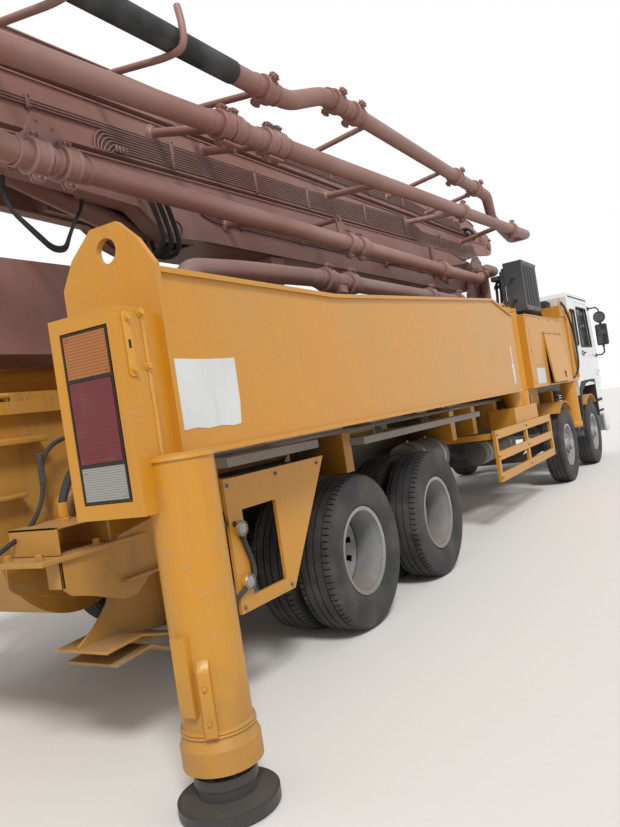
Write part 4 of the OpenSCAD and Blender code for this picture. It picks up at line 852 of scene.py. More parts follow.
frontLeg = {
    "face": -1.2502, "hinge": (1.345, 0.02), "hingeAt": (1.52, 2.24), "hinges": 4,
    "edgeBolts": [(x, z) for x in (1.4, 2.06) for z in (1.47, 1.87, 2.3)], "topBolts": [(2.6, 2.31), (3.1, 2.31)],
    "lug": [(3.36, 2.4), (3.36, 2.56), (3.42, 2.655), (3.46, 2.68), (3.5, 2.67), (3.6, 2.54), (3.62, 2.4)],
    "port": (3.47, 2.6), "ribsAt": (3.7, 4.02), "jack": (3.8, -1.125),
    "jackRing": [(0.119, 0.705), (0.128, 0.71), (0.131, 0.72), (0.131, 0.775), (0.124, 0.79), (0.119, 0.79)],
    "hose": 0.016, "label": [(1.56, 1.452), (1.99, 1.452), (1.99, 1.655), (1.56, 1.655)],
    "hoseRun": [(3.53, -1.30, 2.55), (3.86, -1.31, 2.25), (3.98, -1.305, 1.88), (3.95, -1.30, 1.62),
                (3.76, -1.285, 1.5), (3.62, -1.22, 1.43)],
    "sideLabels": [[(0.5, 1.5), (0.6, 1.5), (0.6, 1.74), (0.5, 1.74)],
                   [(0.53, 1.75), (0.57, 1.75), (0.57, 1.94), (0.53, 1.94)]],
}

hatch = {"low": (2.16, 1.432), "high": (3.2, 2.115), "ajar": math.radians(5.5), "gap": 0.008, "rimDeep": 0.018}


def dressFrontLegs(want, lid):
    face, (hingeX, out) = want["face"], want["hinge"]
    (x0, z0), (x1, z1) = lid["low"], lid["high"]
    parts = []  # hinge eyes with pins, edge bolts and the folded edge above
    for z in want["hingeAt"]:
        for half, radius, sides, edge in ((0.05, 0.026, 16, 0.004), (0.062, 0.012, 12, 0.002)):
            parts.append(rod((hingeX, face + out, z - half), (hingeX, face + out, z + half), radius, sides, edge))
    for spots in (want["edgeBolts"], want["topBolts"]):
        parts += bolts([(x, face, z) for x, z in spots], (0, -1, 0), 0.014)
    # folded edge, raised panel, frame round the hatch opening: corners and height
    for low, high, proud in (((1.32, 2.335), (3.34, 2.352), 0.008), ((1.45, 1.7), (1.95, 2.2), 0.003),
                             ((x0 - 0.02, z0 - 0.02), (x0, z1), 0.008), ((x1, z0 - 0.02), (x1 + 0.02, z1), 0.008),
                             ((x0 - 0.02, z0 - 0.02), (x1 + 0.02, z0), 0.008)):
        parts.append(block((low[0], face + 0.001, low[1]), (high[0], face - proud, high[1]), 0.002))
    y, z = face - 0.012, z1 + 0.012  # the hatch's hinge rod and its eyes
    parts.append(rod((x0 - 0.02, y, z), (x1 + 0.02, y, z), 0.008, 12, 0.001))
    for k in range(want["hinges"]):
        x = x0 + 0.09 + (x1 - x0 - 0.18) * k / (want["hinges"] - 1)
        parts.append(rod((x - 0.05, y, z), (x + 0.05, y, z), 0.015, 14, 0.002))
    # pointed lug above the jack's box, upright ribs, ring at the jack's mouth
    portX, portZ = want["port"]
    parts += [plate(want["lug"], 1, face + 0.002, face - 0.018, 0.004),
              rod((portX, face - 0.026, portZ), (portX, face + 0.01, portZ), 0.022, 20, 0.003)]
    parts += [block((x, face + 0.002, 1.46), (x + 0.05, face - 0.022, 2.5), 0.003) for x in want["ribsAt"]]
    parts.append(spun(want["jackRing"], (*want["jack"], 0), (0, 0, 1), 40))
    bothPieces("outriggerTrim", parts, "front_leg", "yellow")
    hoses = [tube([(portX, face - 0.03, portZ)] + want["hoseRun"], want["hose"], 0.2, 10, 7),
             rod((portX, face - 0.04, portZ), (portX, face - 0.02, portZ), 0.024, 6, 0.003)]
    bothPieces("outriggerHose", hoses, "front_leg", "hose", 60)
    label = plate(want["label"], 1, face - 0.0003, face - 0.0018)
    bothPieces("frontLabel", [label], "front_leg", "label")
    strips = [plate(outline, 1, rearLeg["labelY"][0], -1.222) for outline in want["sideLabels"]]
    bothPieces("sideLabel", strips, "rear_leg", "label", place=turnedLeg(rearLeg))


def dressHatch(want, face):
    # the lid hangs a little open on its top hinge, held by two stays
    (x0, z0), (x1, z1), gap, deep = want["low"], want["high"], want["gap"], want["rimDeep"]
    foot = z0 - z1
    parts = [block((x0 + gap, -0.004, foot + 0.006), (x1 - gap, 0.0, -0.002), 0.0)]
    insetPicked(lambda middle, normal: normal.y > 0.9, 0.006, (0, -0.002, 0))
    parts += [block((a, 0.0, foot + 0.006), (b, deep, top), 0.001)
              for a, b, top in ((x0 + gap, x1 - gap, foot + 0.01), (x0 + gap, x0 + gap + 0.004, -0.002),
                                (x1 - gap - 0.004, x1 - gap, -0.002))]
    swing = moved(0, face - 0.012, z1) @ Matrix.Rotation(-want["ajar"], 4, "X")
    bothPieces("hatch", parts, "front_leg", "yellow", place=swing)
    latch = [block((x1 - 0.36, -0.012, foot + 0.05), (x1 - 0.33, -0.003, foot + 0.15), 0.003),
             rod((x1 - 0.345, -0.02, foot + 0.12), (x1 - 0.345, -0.002, foot + 0.12), 0.012, 14, 0.002)]
    bothPieces("hatchLatch", latch, "front_leg", "plastic", place=swing)
    stays = [rod((x, face + 0.002, z0 + 0.25), (x, face - 0.048, z0 + 0.26), 0.005, 8) for x in (x0 + 0.1, x1 - 0.1)]
    bothPieces("hatchStays", stays, "front_leg", "bolt")
    # a dark plate over the opening behind the ajar lid: painted shade
    shadeSheets = block((x0, face - 0.0006, z0), (x1, face + 0.0004, z1), 0.0003)
    bothPieces("hatchOpening", [shadeSheets], "front_leg", "seal")


dressFrontLegs(frontLeg, hatch)
dressHatch(hatch, frontLeg["face"])

loop = {"run": [(0.79, -1.13, 2.3), (0.79, -1.13, 2.47), (0.95, -1.13, 2.47), (0.95, -1.13, 2.3)], "radius": 0.017}
bothPieces("liftingLoop", [tube(loop["run"], loop["radius"], 0.075, 10, 6)], "truck", "yellow")
print("front outriggers dressed")

# bolted pipe clamps

clamp = {
    "pipe": 0.07, "band": 0.097, "half": 0.04, "collarAt": 0.125, "collar": 0.0785, "earGap": 0.003, "ear": 0.014,
    "bolt": 0.017,
}


def makeClamp(want):
    half, band, pipe, gap = want["half"], want["band"], want["pipe"], want["earGap"]
    parts = [spun([(pipe, -half - 0.012), (band - 0.008, -half - 0.012), (band, -half - 0.006), (band, -half + 0.006),
                   (band - 0.006, -half + 0.012), (band - 0.006, half - 0.012), (band, half - 0.006),
                   (band, half + 0.006), (band - 0.008, half + 0.012), (pipe, half + 0.012)],
                  (0, 0, 0), (1, 0, 0), 36)]
    for side in (-1, 1):
        edge, top, tip = (pipe + 0.008) * side, (band + 0.02) * side, (band + 0.038) * side
        ear = [(-half, edge), (half, edge), (half, top), (half * 0.6, tip), (-half * 0.6, tip), (-half, top)]
        parts += [plate(ear, 1, -gap - want["ear"], -gap, 0.002), plate(ear, 1, gap, gap + want["ear"], 0.002)]
        for across in (-1, 1):
            spot = Vector((across * half * 0.45, 0, (band + 0.018) * side))
            parts += bolts([spot - Vector((0, 0.019, 0))], (0, -1, 0), want["bolt"])
            parts.append(rod(spot, spot + Vector((0, 0.034, 0)), 0.0065, 8, 0.001))
        parts.append(spun([(pipe, -0.013), (want["collar"], -0.009), (want["collar"], 0.009), (pipe, 0.013)],
                          (side * want["collarAt"], 0, 0), (1, 0, 0), 32))
    return mergedParts(parts)


clampMaster = makeClamp(clamp)


def clampsOn(start, end, xs, roll=0.0):
    # clamps threaded on a straight run of pipe, at these places along X
    start, end = Vector(start), Vector(end)
    turn = (end - start).to_track_quat("X", "Z").to_matrix().to_4x4()
    spots = [start.lerp(end, (x - start.x) / (end.x - start.x)) for x in xs]
    return copies(clampMaster, [Matrix.Translation(s) @ turn @ Matrix.Rotation(roll, 4, "X") for s in spots], True)


def post(pipeSpot, armSpot, radius=0.03, foot=0.058):
    # round stand-off from the arm to the pipe, with a flanged foot and a weld bead on the arm
    pipeSpot, armSpot, out = Vector(pipeSpot), Vector(armSpot), Vector((0, -1, 0))
    flange = [(0, 0.014), (foot - 0.004, 0.014), (foot, 0.01), (foot, -0.004), (0, -0.004)]
    weld = [(radius, 0.03), (radius + 0.006, 0.026), (radius + 0.014, 0.014), (radius, 0.013)]
    return [rod(armSpot + out * 0.004, pipeSpot, radius, 20), spun(flange, armSpot, out, 28),
            spun(weld, armSpot, out, 24)]


def strip(edge, half, start=None):
    # a flange along an edge of the side outline, standing a little proud of it: across the arm, or on one side of it
    thick = 0.012
    return plate(list(edge) + [(x, z + thick) for x, z in reversed(edge)], 1, -half if start is None else start, half,
                 0.002)


def bothSides(make):
    return [piece for side in (-1, 1) for piece in make(side)]


def crossRod(x, z, near, far, radius, sides=48, edge=0.005):
    # the same round boss on both sides of the arm
    return bothSides(lambda s: [rod((x, s * near, z), (x, s * far, z), radius, sides, edge)])


def finishArm(name, parts, node, finish="boom", body=None, smooth=32):
    made = asPiece(name, parts, body or node, finish, smooth)
    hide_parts(node)
    print(name, "built")


# arm one

arm1 = {
    "half": 0.28, "skin": 0.02, "lip": 0.012, "coreY": 0.13,
    "side": [(2.55, 2.95), (1.25, 2.88), (-3.7, 2.88), (-3.95, 2.862), (-4.07, 2.9), (-4.25, 3.03), (-5.95, 3.1),
             (-5.95, 3.4), (-5.65, 3.29), (1.75, 3.44), (2.55, 3.35)],
    "core": [(2.53, 2.96), (1.25, 2.892), (-3.7, 2.892), (-3.95, 2.88), (-4.06, 2.915), (-4.24, 3.045), (-4.65, 3.06),
             (-4.65, 3.3), (1.75, 3.43), (2.53, 3.34)],
    "middle": [(2.53, 3.12), (-3.74, 3.12), (-4.65, 3.24), (-4.65, 3.3), (1.75, 3.43), (2.53, 3.34)],
    # flanges across the arm, and those cut where the rams work, with where they start
    "flanges": [[(-4.65, 3.299), (1.75, 3.428), (2.5, 3.344)], [(-3.6, 2.88), (-0.06, 2.88)],
                [(1.46, 2.891), (2.5, 2.946)]],
    "cutFlanges": [([(-5.6, 3.28), (-4.65, 3.299)], 0.205), ([(-0.06, 2.88), (1.25, 2.88), (1.46, 2.891)], 0.13),
                   ([(-5.7, 3.089), (-4.25, 3.03), (-4.07, 2.9), (-3.95, 2.862), (-3.6, 2.879)], 0.2)],
    "lug": [(0.115, 2.95), (0.285, 2.95), (0.38, 3.13), (0.02, 3.13)], "ramPin": (-3.9, 2.935),
    "pipeY": -0.62, "clampsAt": (-5.32, -5.12, -1.93, -1.7, 0.4), "postsAt": (-5.22, -3.3, -0.4, 1.3),
    "saddle": [(-5.37, 3.08), (-5.345, 3.17), (-5.29, 3.265), (-5.15, 3.24), (-5.1, 3.16), (-5.085, 3.08)],
    "saddleBolts": [(-5.315, 3.16), (-5.27, 3.22), (-5.17, 3.2), (-5.15, 3.12)],
    "fin": [(-2.09, 3.05), (-2.12, 3.19), (-2.105, 3.225), (-2.065, 3.235), (-2.035, 3.21), (-1.84, 3.07),
            (-1.8, 3.03), (-2.06, 3.03)],
}


def buildArm1(want):
    half, skin, lip, y = want["half"], want["skin"], want["lip"], want["pipeY"]
    inner = half - skin
    parts = bothSides(lambda s: [plate(want["side"], 1, s * half, s * inner, 0.003),
                                 plate(want["core"], 1, s * want["coreY"], s * inner)])
    parts.append(plate(want["middle"], 1, -want["coreY"], want["coreY"]))
    parts += crossRod(-5.95, 3.34, 0.205, 0.286, 0.2448) + crossRod(2.55, 3.15, 0.2, 0.286, 0.2)
    parts += [strip(edge, half + lip) for edge in want["flanges"]]
    parts += bothSides(lambda s: [strip(edge, s * (half + lip), s * start) for edge, start in want["cutFlanges"]])
    parts += bothSides(lambda s: [plate(want["lug"], 1, s * 0.075, s * 0.115, 0.002)])
    parts += crossRod(0.2, 2.95, 0.075, 0.115, 0.085, 32, 0.003)
    # the base pin of the second ram, with a slotted cap
    x, z = want["ramPin"]
    parts += [rod((x, -0.21, z), (x, 0.21, z), 0.038, 24)] + crossRod(x, z, 0.21, 0.288, 0.055, 28, 0.003)
    for long, high in ((0.035, 0.006), (0.006, 0.035)):
        parts += bothSides(lambda s: [block((x - long, s * 0.286, z - high), (x + long, s * 0.293, z + high), 0.002)])
    parts += bothSides(lambda s: [spun([(0.052, 0.016), (0.068, 0.014), (0.074, 0.006), (0.074, -0.004),
                                        (0.052, -0.004)], (x, s * 0.282, z), (0, s, 0), 32)])
    start, end = (-5.5, y, 3.012), (1.79, y, 2.965)
    parts.append(tube([(2.55, -0.51, 3.15), (2.55, y, 3.15), (2.13, y, 3.15), end, start, (-5.8, y, 3.14),
                       (-5.95, y, 3.34), (-5.95, -0.73, 3.34)], clamp["pipe"], 0.12, 28, 8))
    parts += clampsOn(start, end, want["clampsAt"]) + clampsOn((1.8, y, 2.97), (2.12, y, 3.148), (1.93,), 0.6)
    for x in want["postsAt"]:
        parts += post((x, y + 0.03, 3.01 - (x + 5.5) * 0.00645), (x, -half, 3.12 if x < -4 else 3.05))
    # bolted saddle plate over the rear clamps, and the fin with its pegs
    parts.append(plate(want["saddle"], 1, y + 0.012, y + 0.026, 0.003))
    parts += bolts([(x, y + 0.012, z) for x, z in want["saddleBolts"]], (0, -1, 0), 0.014)
    parts += [block((-5.24, y + 0.02, 3.19), (-5.2, -half + 0.004, 3.23), 0.004),
              plate(want["fin"], 1, y - 0.008, y + 0.008, 0.003),
              rod((-2.075, y - 0.03, 3.195), (-2.075, -half - 0.005, 3.195), 0.022, 18, 0.003),
              rod((-1.94, y - 0.02, 3.1), (-1.94, -half - 0.005, 3.1), 0.016, 14, 0.003),
              rod((1.02, -0.3, 3.0), (1.02, -0.3, 3.4), 0.026, 18, 0.003),  # stay and strut near the turret
              rod((1.02, -0.31, 3.12), (2.3, -0.31, 3.33), 0.022, 16, 0.003)]
    finishArm("armOne", parts, "arm_1")


buildArm1(arm1)

# arm two

arm2 = {
    "half": 0.235, "skin": 0.018, "lip": 0.012, "coreY": 0.1,
    "side": [(-5.39, 3.3526), (2.55, 3.5), (3.25, 3.56), (3.75, 3.62), (3.75, 3.79), (3.25, 3.76), (-5.25, 3.69),
             (-5.39, 3.656)],
    "root": [(-5.95, 3.17), (-5.62, 3.24), (-5.53, 3.35), (-5.31, 3.354), (-5.31, 3.675), (-5.95, 3.52)],
    "core": [(-5.39, 3.365), (2.55, 3.512), (3.25, 3.572), (3.33, 3.582), (3.33, 3.753), (3.25, 3.748), (-5.25, 3.678),
             (-5.39, 3.65)],
    "middle": [(-5.31, 3.366), (1.45, 3.49), (1.45, 3.73), (-5.31, 3.665)],
    "flanges": [[(-5.3, 3.355), (2.55, 3.5), (3.2, 3.5555)], [(-5.25, 3.679), (1.4, 3.7335)]],
    "cutFlanges": [([(1.4, 3.7335), (3.25, 3.749), (3.6, 3.77)], 0.175), ([(3.2, 3.5555), (3.72, 3.617)], 0.175)],
    "pipeY": -0.86, "clampsAt": (-3.98, -3.86, -3.45, -3.33, 0.75, 2.9), "roll": 0.25, "climb": 0.04396,
    "posts": [(-3.95, -3.95), (-3.38, -3.4), (-1.5, -1.5), (0.72, 0.46), (2.4, 2.4)], "lugsAt": (-3.92, -3.39),
}


def buildArm2(want):
    half, skin, lip, y = want["half"], want["skin"], want["lip"], want["pipeY"]
    inner = half - skin
    parts = bothSides(lambda s: [plate(want["side"], 1, s * half, s * inner, 0.003),
                                 plate(want["root"], 1, s * 0.09, s * 0.195, 0.003),
                                 plate(want["core"], 1, s * want["coreY"], s * inner)])
    parts.append(plate(want["middle"], 1, -want["coreY"], want["coreY"]))
    parts += crossRod(-5.95, 3.34, 0.09, 0.195, 0.18) + crossRod(3.75, 3.79, 0.175, 0.241, 0.17)
    parts += crossRod(-5.95, 3.34, 0.11, 0.29, 0.07, 32, 0.004)
    parts += [strip(edge, half + lip) for edge in want["flanges"]]
    parts += bothSides(lambda s: [strip(edge, s * (half + lip), s * start) for edge, start in want["cutFlanges"]])
    parts.append(rod((1.65, -0.11, 3.59), (1.65, 0.11, 3.59), 0.032, 24))
    start, end, climb = (-5.65, y, 3.38), (3.45, y, 3.78), want["climb"]
    parts.append(tube([(-5.95, -0.735, 3.34), (-5.95, y, 3.34), start, end, (3.75, y, 3.79), (3.75, -0.75, 3.79)],
                      clamp["pipe"], 0.12, 28, 8))
    parts += clampsOn(start, end, want["clampsAt"], want["roll"])
    for at, foot in want["posts"]:
        parts += post((at, y + 0.03, start[2] + (at - start[0]) * climb), (foot, -half, 3.62 if foot < 0 else 3.655),
                      0.032, 0.062)
    for x in want["lugsAt"]:  # bolted lugs hanging under the double clamps
        z = start[2] + (x - start[0]) * climb
        parts.append(block((x - 0.09, y - 0.03, z - 0.125), (x + 0.09, y + 0.05, z - 0.105), 0.004))
        parts += bothSides(lambda s: [rod((x + s * 0.06, y + 0.01, z - 0.15), (x + s * 0.06, y + 0.01, z - 0.09), 0.011,
                                          12, 0.002)])
        parts += bolts([(x - 0.06, y + 0.01, z - 0.125), (x + 0.06, y + 0.01, z - 0.125)], (0, 0, -1), 0.022)
    finishArm("armTwo", parts, "arm_2")


buildArm2(arm2)

# arm three, with the hooks for the end hose

arm3 = {
    "half": 0.2, "skin": 0.016, "lip": 0.012,
    "side": [(3.27, 3.83), (-5.65, 3.745), (-5.75, 3.78), (-5.75, 3.93), (-5.25, 3.98), (3.05, 4.08), (3.27, 4.036)],
    "root": [(3.75, 3.67), (3.42, 3.73), (3.22, 3.835), (3.22, 4.046), (3.75, 3.94)],
    "flanges": [[(-5.65, 3.745), (3.25, 3.829)], [(-5.72, 3.922), (-5.25, 3.969), (3.05, 4.068), (3.25, 4.028)]],
    "pipeY": -0.95, "pipeEnd": (1.7, -0.91, 4.015), "clampsAt": (-2.45, -2.1, 0.5, 1.2),
    "postsAt": (-3.52, -1.8, 0.15, 1.35), "dropAt": -2.5,  # behind this the pipe lies lower
    "hooksAt": (-5.3, -4.5), "hook": 0.022,
}


def buildArm3(want):
    half, skin, lip, y, side = want["half"], want["skin"], want["lip"], want["pipeY"], want["side"]
    inside = [(x * 0.999, z + (0.012 if z < 3.85 else -0.012)) for x, z in side]
    parts = bothSides(lambda s: [plate(side, 1, s * half, s * (half - skin), 0.003),
                                 plate(want["root"], 1, s * 0.075, s * 0.17, 0.003)])
    parts.append(plate(inside, 1, skin - half, half - skin))
    parts += crossRod(3.75, 3.79, 0.075, 0.17, 0.15) + crossRod(3.75, 3.79, 0.105, 0.245, 0.06, 32, 0.004)
    parts += [strip(edge, half + lip) for edge in want["flanges"]]
    parts.append(tube([(3.75, -0.745, 3.79), (3.75, -0.62, 3.79), (3.42, -0.62, 3.85), (2.85, -0.62, 3.97),
                       want["pipeEnd"], (-2.62, y, 4.033), (-3.2, y, 3.815), (-3.42, y, 3.8), (-3.9, y, 3.8)],
                      clamp["pipe"], 0.16, 28, 10))
    parts += clampsOn((-3.9, y, 3.8), (-3.3, y, 3.8), want["postsAt"][:1], 1.0)
    parts += clampsOn((-2.62, y, 4.033), want["pipeEnd"], want["clampsAt"], 1.05)
    for x in want["postsAt"]:
        pipeZ, footZ = (4.02, 3.9) if x > want["dropAt"] else (3.8, 3.86)
        parts += post((x, y + 0.03, pipeZ), (x - 0.1, -half, footZ), 0.025, 0.05)
    for x in want["hooksAt"]:
        parts.append(tube([(x, -half + 0.005, 3.83), (x, -0.9, 3.704), (x, -1.056, 3.7), (x, -1.062, 3.85),
                           (x + 0.02, -1.03, 3.97)], want["hook"], 0.09, 14, 6))
        parts.append(spun([(0, 0.012), (0.045, 0.012), (0.05, 0.006), (0.05, -0.004), (0, -0.004)],
                          (x, -half, 3.83), (0, -1, 0), 24))
    finishArm("armThree", parts, "arm_3")


buildArm3(arm3)

# delivery pipe on the deck

deckPipe = {
    "run": [(-4.4, -0.4, 1.48), (-4.42, -0.6, 1.5), (-4.5, -0.78, 1.8), (-4.5, -0.78, 2.47), (-3.9, -0.78, 2.515),
            (-3.0, -0.78, 2.55), (0.5, -0.78, 2.55), (0.8, -0.72, 2.47), (1.0, -0.64, 1.65), (1.3, -0.56, 1.56),
            (1.6816, -0.3086, 1.56)],
    "level": (5, 6), "clampsAt": (-2.75, -2.35, -0.55, 0.3), "postsAt": (-2.6, -0.8), "deckZ": 1.34,
}


def buildDeckPipe(want):
    start, end = (want["run"][k] for k in want["level"])
    y, low = start[1], want["deckZ"]
    parts = [tube(want["run"], clamp["pipe"], 0.16, 28, 8)] + clampsOn(start, end, want["clampsAt"], 0.4)
    for x in want["postsAt"]:
        parts += [block((x - 0.03, y - 0.03, low), (x + 0.03, y + 0.03, 2.49), 0.004),
                  block((x - 0.09, y - 0.09, low), (x + 0.09, y + 0.09, low + 0.02), 0.003),
                  plate([(x - 0.06, 2.44), (x + 0.06, 2.44), (x + 0.05, 2.5), (x - 0.05, 2.5)], 1, y - 0.08, y + 0.08,
                        0.003)]
        parts += bolts([(x + u, y + v, low + 0.02) for u in (-0.065, 0.065) for v in (-0.065, 0.065)], (0, 0, 1), 0.016)
    finishArm("deckPipeRun", parts, "deck_pipe", "pipe", "truck", 40)


buildDeckPipe(deckPipe)
bpy.data.objects.remove(clampMaster)

# hydraulic tubes in clamp rails along the arms

tubing = {
    "radius": 0.0065, "pitch": 0.018, "rowCount": 7,
    "arm1": {"side": -0.2805, "row": [(-3.6, 3.09), (-3.45, 3.05), (1.1, 3.05), (1.5, 2.97)],
             "rails": [(x, 3.03, 3.185) for x in (-3.1, -2.2, -1.3, -0.4, 0.6)]},
    "arm2": {"side": -0.2355, "count": 10, "low": 3.376, "fittings": 4,
             "rails": [(-5.0, 3.49, 3.575), (-3.78, 3.39, 3.6), (-2.75, 3.405, 3.61), (-1.9, 3.42, 3.63),
                       (-0.7, 3.47, 3.68), (0.4, 3.5, 3.72), (1.55, 3.495, 3.65), (2.4, 3.52, 3.66)]},
    "arm3": {"side": -0.2005, "row": [(-2.6, 3.80), (-2.4, 3.835), (0.9, 3.87), (1.15, 3.85), (2.6, 3.87)],
             "rails": [(x, 3.82 + (x + 2.4) * 0.0095, 3.965 + (x + 2.4) * 0.0095)
                       for x in (-2.2, -1.3, -0.4, 0.5, 1.4, 2.3)]},
}


def clampRails(fit):
    parts, y = [], fit["side"]
    for x, z0, z1 in fit["rails"]:
        parts.append(block((x - 0.014, y - 0.024, z0), (x + 0.014, y, z1), 0.003))
        parts += bolts([(x, y - 0.024, z0 + 0.012), (x, y - 0.024, z1 - 0.012)], (0, -1, 0), 0.011)
    return parts


def tubeRow(fit, want):
    # parallel tubes: each lies one pitch higher
    path = [Vector((x, fit["side"] - 0.011, z)) for x, z in fit["row"]]
    return [tube([spot + Vector((0, 0, want["pitch"])) * k for spot in path], want["radius"], 0.05, 8, 4)
            for k in range(want["rowCount"])]


def nestedTubes(fit, want):
    # three long tubes, seven more join them with nested bends, all turn down near the front
    parts, y, low = [], fit["side"] - 0.011, fit["low"]
    for k in range(fit["count"]):
        z = 3.565 - want["pitch"] * k
        x, rise = -4.52 + 0.026 * (k - 3), 0.14 - 0.006 * k
        path = [(-5.25, z - 0.018), (-4.3, z)] if k < 3 else [(x, low), (x + 0.01, z - 0.05), (x + 0.06, z)]
        path += [(-1.9, z + 0.045), (0.55, z + rise), (0.9 - 0.012 * k, z + rise - 0.1 + 0.004 * k),
                 (2.5, z + rise - 0.075 + 0.006 * k), (2.95 + 0.02 * k, z + rise - 0.05 + 0.006 * k)]
        parts.append(tube([(u, y, max(v, low)) for u, v in path], want["radius"], 0.045, 8, 4))
    return parts


def dressArms(want):
    for number in (1, 2, 3):
        fit = want["arm%d" % number]
        parts = (nestedTubes if number == 2 else tubeRow)(fit, want) + clampRails(fit)
        if number == 2:  # valve fittings at the start of the row
            parts += [rod((-4.36 + 0.03 * k, fit["side"] - 0.041, 3.375), (-4.36 + 0.03 * k, fit["side"] - 0.041, 3.42),
                          0.012, 6, 0.002) for k in range(fit["fittings"])]
        asPiece("arm%dTubes" % number, parts, "arm_%d" % number, "pipe", 50)
    print("hydraulic tubes laid")


dressArms(tubing)

# hoses that join the arms

boomHose = {
    "radius": 0.016, "wrapPitch": 0.017, "wrapRadius": 0.0038, "wrapped": 3, "wrappedStep": 0.075,
    "loops": 2, "loopRadius": 0.011, "front": 4, "frontStep": 0.05, "frontRadius": 0.012,
}


def wrappedHose(points, want, reach=0.12):
    # hose in a spiral guard: the tube and a thin coil wound round it
    radius, pitch = want["radius"], want["wrapPitch"]
    path = roundedPath(points, reach, 7)
    coil, gone, side = [], 0.0, None
    for start, end in zip(path, path[1:]):
        run = end - start
        if run.length < 1e-4:
            continue
        ahead = run.normalized()
        side = (side - ahead * side.dot(ahead)).normalized() if side else ahead.orthogonal().normalized()
        other = ahead.cross(side)
        count = max(2, int(run.length / pitch * 8))
        for k in range(count):
            turn = math.tau * (gone + run.length * k / count) / pitch
            coil.append(start + run * (k / count) + (side * math.cos(turn) + other * math.sin(turn)) * radius)
        gone += run.length
    return [tube(points, radius, reach, 12, 7), tube(coil, want["wrapRadius"], 0.001, 4, 1)]


def dressBoomHoses(want):
    parts = []
    for k in range(want["wrapped"]):
        x = -4.2 + want["wrappedStep"] * k
        parts += wrappedHose([(x - 0.09, -0.30, 3.19), (x - 0.08, -0.38, 3.17), (x - 0.05, -0.43, 2.95),
                              (x + 0.01, -0.42, 2.79 - 0.015 * k), (x + 0.06, -0.3, 2.72), (x + 0.1, -0.12, 2.76),
                              (x + 0.12, -0.06, 2.89)], want)
        parts.append(rod((x - 0.09, -0.282, 3.19), (x - 0.09, -0.325, 3.19), 0.022, 6, 0.003))
    asPiece("wrappedHoses", parts, "arm_1", "hose", 50)
    parts = [tube([(-5.2, -0.17 - 0.03 * k, 3.2), (-5.22, -0.2, 2.9), (-5.1, -0.26, 2.76 - 0.02 * k),
                   (-5.0, -0.28, 2.665 - 0.02 * k), (-4.9, -0.27, 2.68 - 0.02 * k), (-4.8, -0.22, 2.8),
                   (-4.62, -0.15, 3.0), (-4.58, -0.12 - 0.02 * k, 3.1)], want["loopRadius"], 0.14, 8, 7)
             for k in range(want["loops"])]
    asPiece("hoseLoops", parts, "arm_1", "hose", 60)
    parts = []  # short hoses at the front joint
    for k in range(want["front"]):
        x = 2.62 + want["frontStep"] * k
        parts.append(tube([(x, -0.215, 3.885), (x + 0.02, -0.3, 3.89), (x + 0.08, -0.34, 3.8), (x + 0.1, -0.3, 3.72),
                           (x + 0.12, -0.214, 3.87)], want["frontRadius"], 0.08, 8, 6))
    asPiece("frontHoses", parts, "arm_3", "hose", 60)
    print("boom hoses laid")


dressBoomHoses(boomHose)

# pin caps, and round plates over the turret's cheeks

pins = {  # place, body that holds the cap, half width and radius
    "rear": ((-5.95, 3.34), "arm_1", 0.29, 0.1), "front": ((3.75, 3.79), "arm_2", 0.245, 0.085),
    "lift": ((2.55, 3.15), "turret", 0.39, 0.11), "cheekBolts": (10, 0.25),
    "cheek": [(0, 0.014), (0.285, 0.014), (0.29, 0.01), (0.29, -0.002), (0, -0.002)],
}


def pinCap(x, y, z, side, radius):
    # a stepped cap with a keeper plate and two bolts
    cap = spun([(0, 0.03), (radius * 0.5, 0.03), (radius * 0.56, 0.022), (radius * 0.86, 0.02), (radius * 0.95, 0.014),
                (radius, 0.0), (radius, -0.004), (0, -0.004)], (x, y, z), (0, side, 0), 36)
    keeper = block((x - radius * 0.5, min(y, y + side * 0.03), z + radius * 0.62),
                   (x + radius * 0.5, max(y, y + side * 0.03), z + radius * 0.9), 0.003)
    spots = [(x + d, y + side * 0.031, z + radius * 0.76) for d in (-radius * 0.34, radius * 0.34)]
    return [cap, keeper] + bolts(spots, (0, side, 0), 0.02)


def dressPins(want):
    for name in ("rear", "front", "lift"):
        (x, z), body, half, radius = want[name]
        asPiece("pinCaps_" + name, bothSides(lambda s: pinCap(x, s * half, z, s, radius)), body, "boom")
    (x, z), count = want["lift"][0], want["cheekBolts"][0]
    parts = bothSides(lambda s: [spun(want["cheek"], (x, s * 0.376, z), (0, s, 0), 56)]
                      + bolts([(x + u, s * 0.389, z + v) for u, v in around(count, want["cheekBolts"][1], 0.3)],
                              (0, s, 0), 0.018))
    asPiece("cheekPlates", parts, "turret", "boom")
    print("pin caps placed")


dressPins(pins)

# cab sides

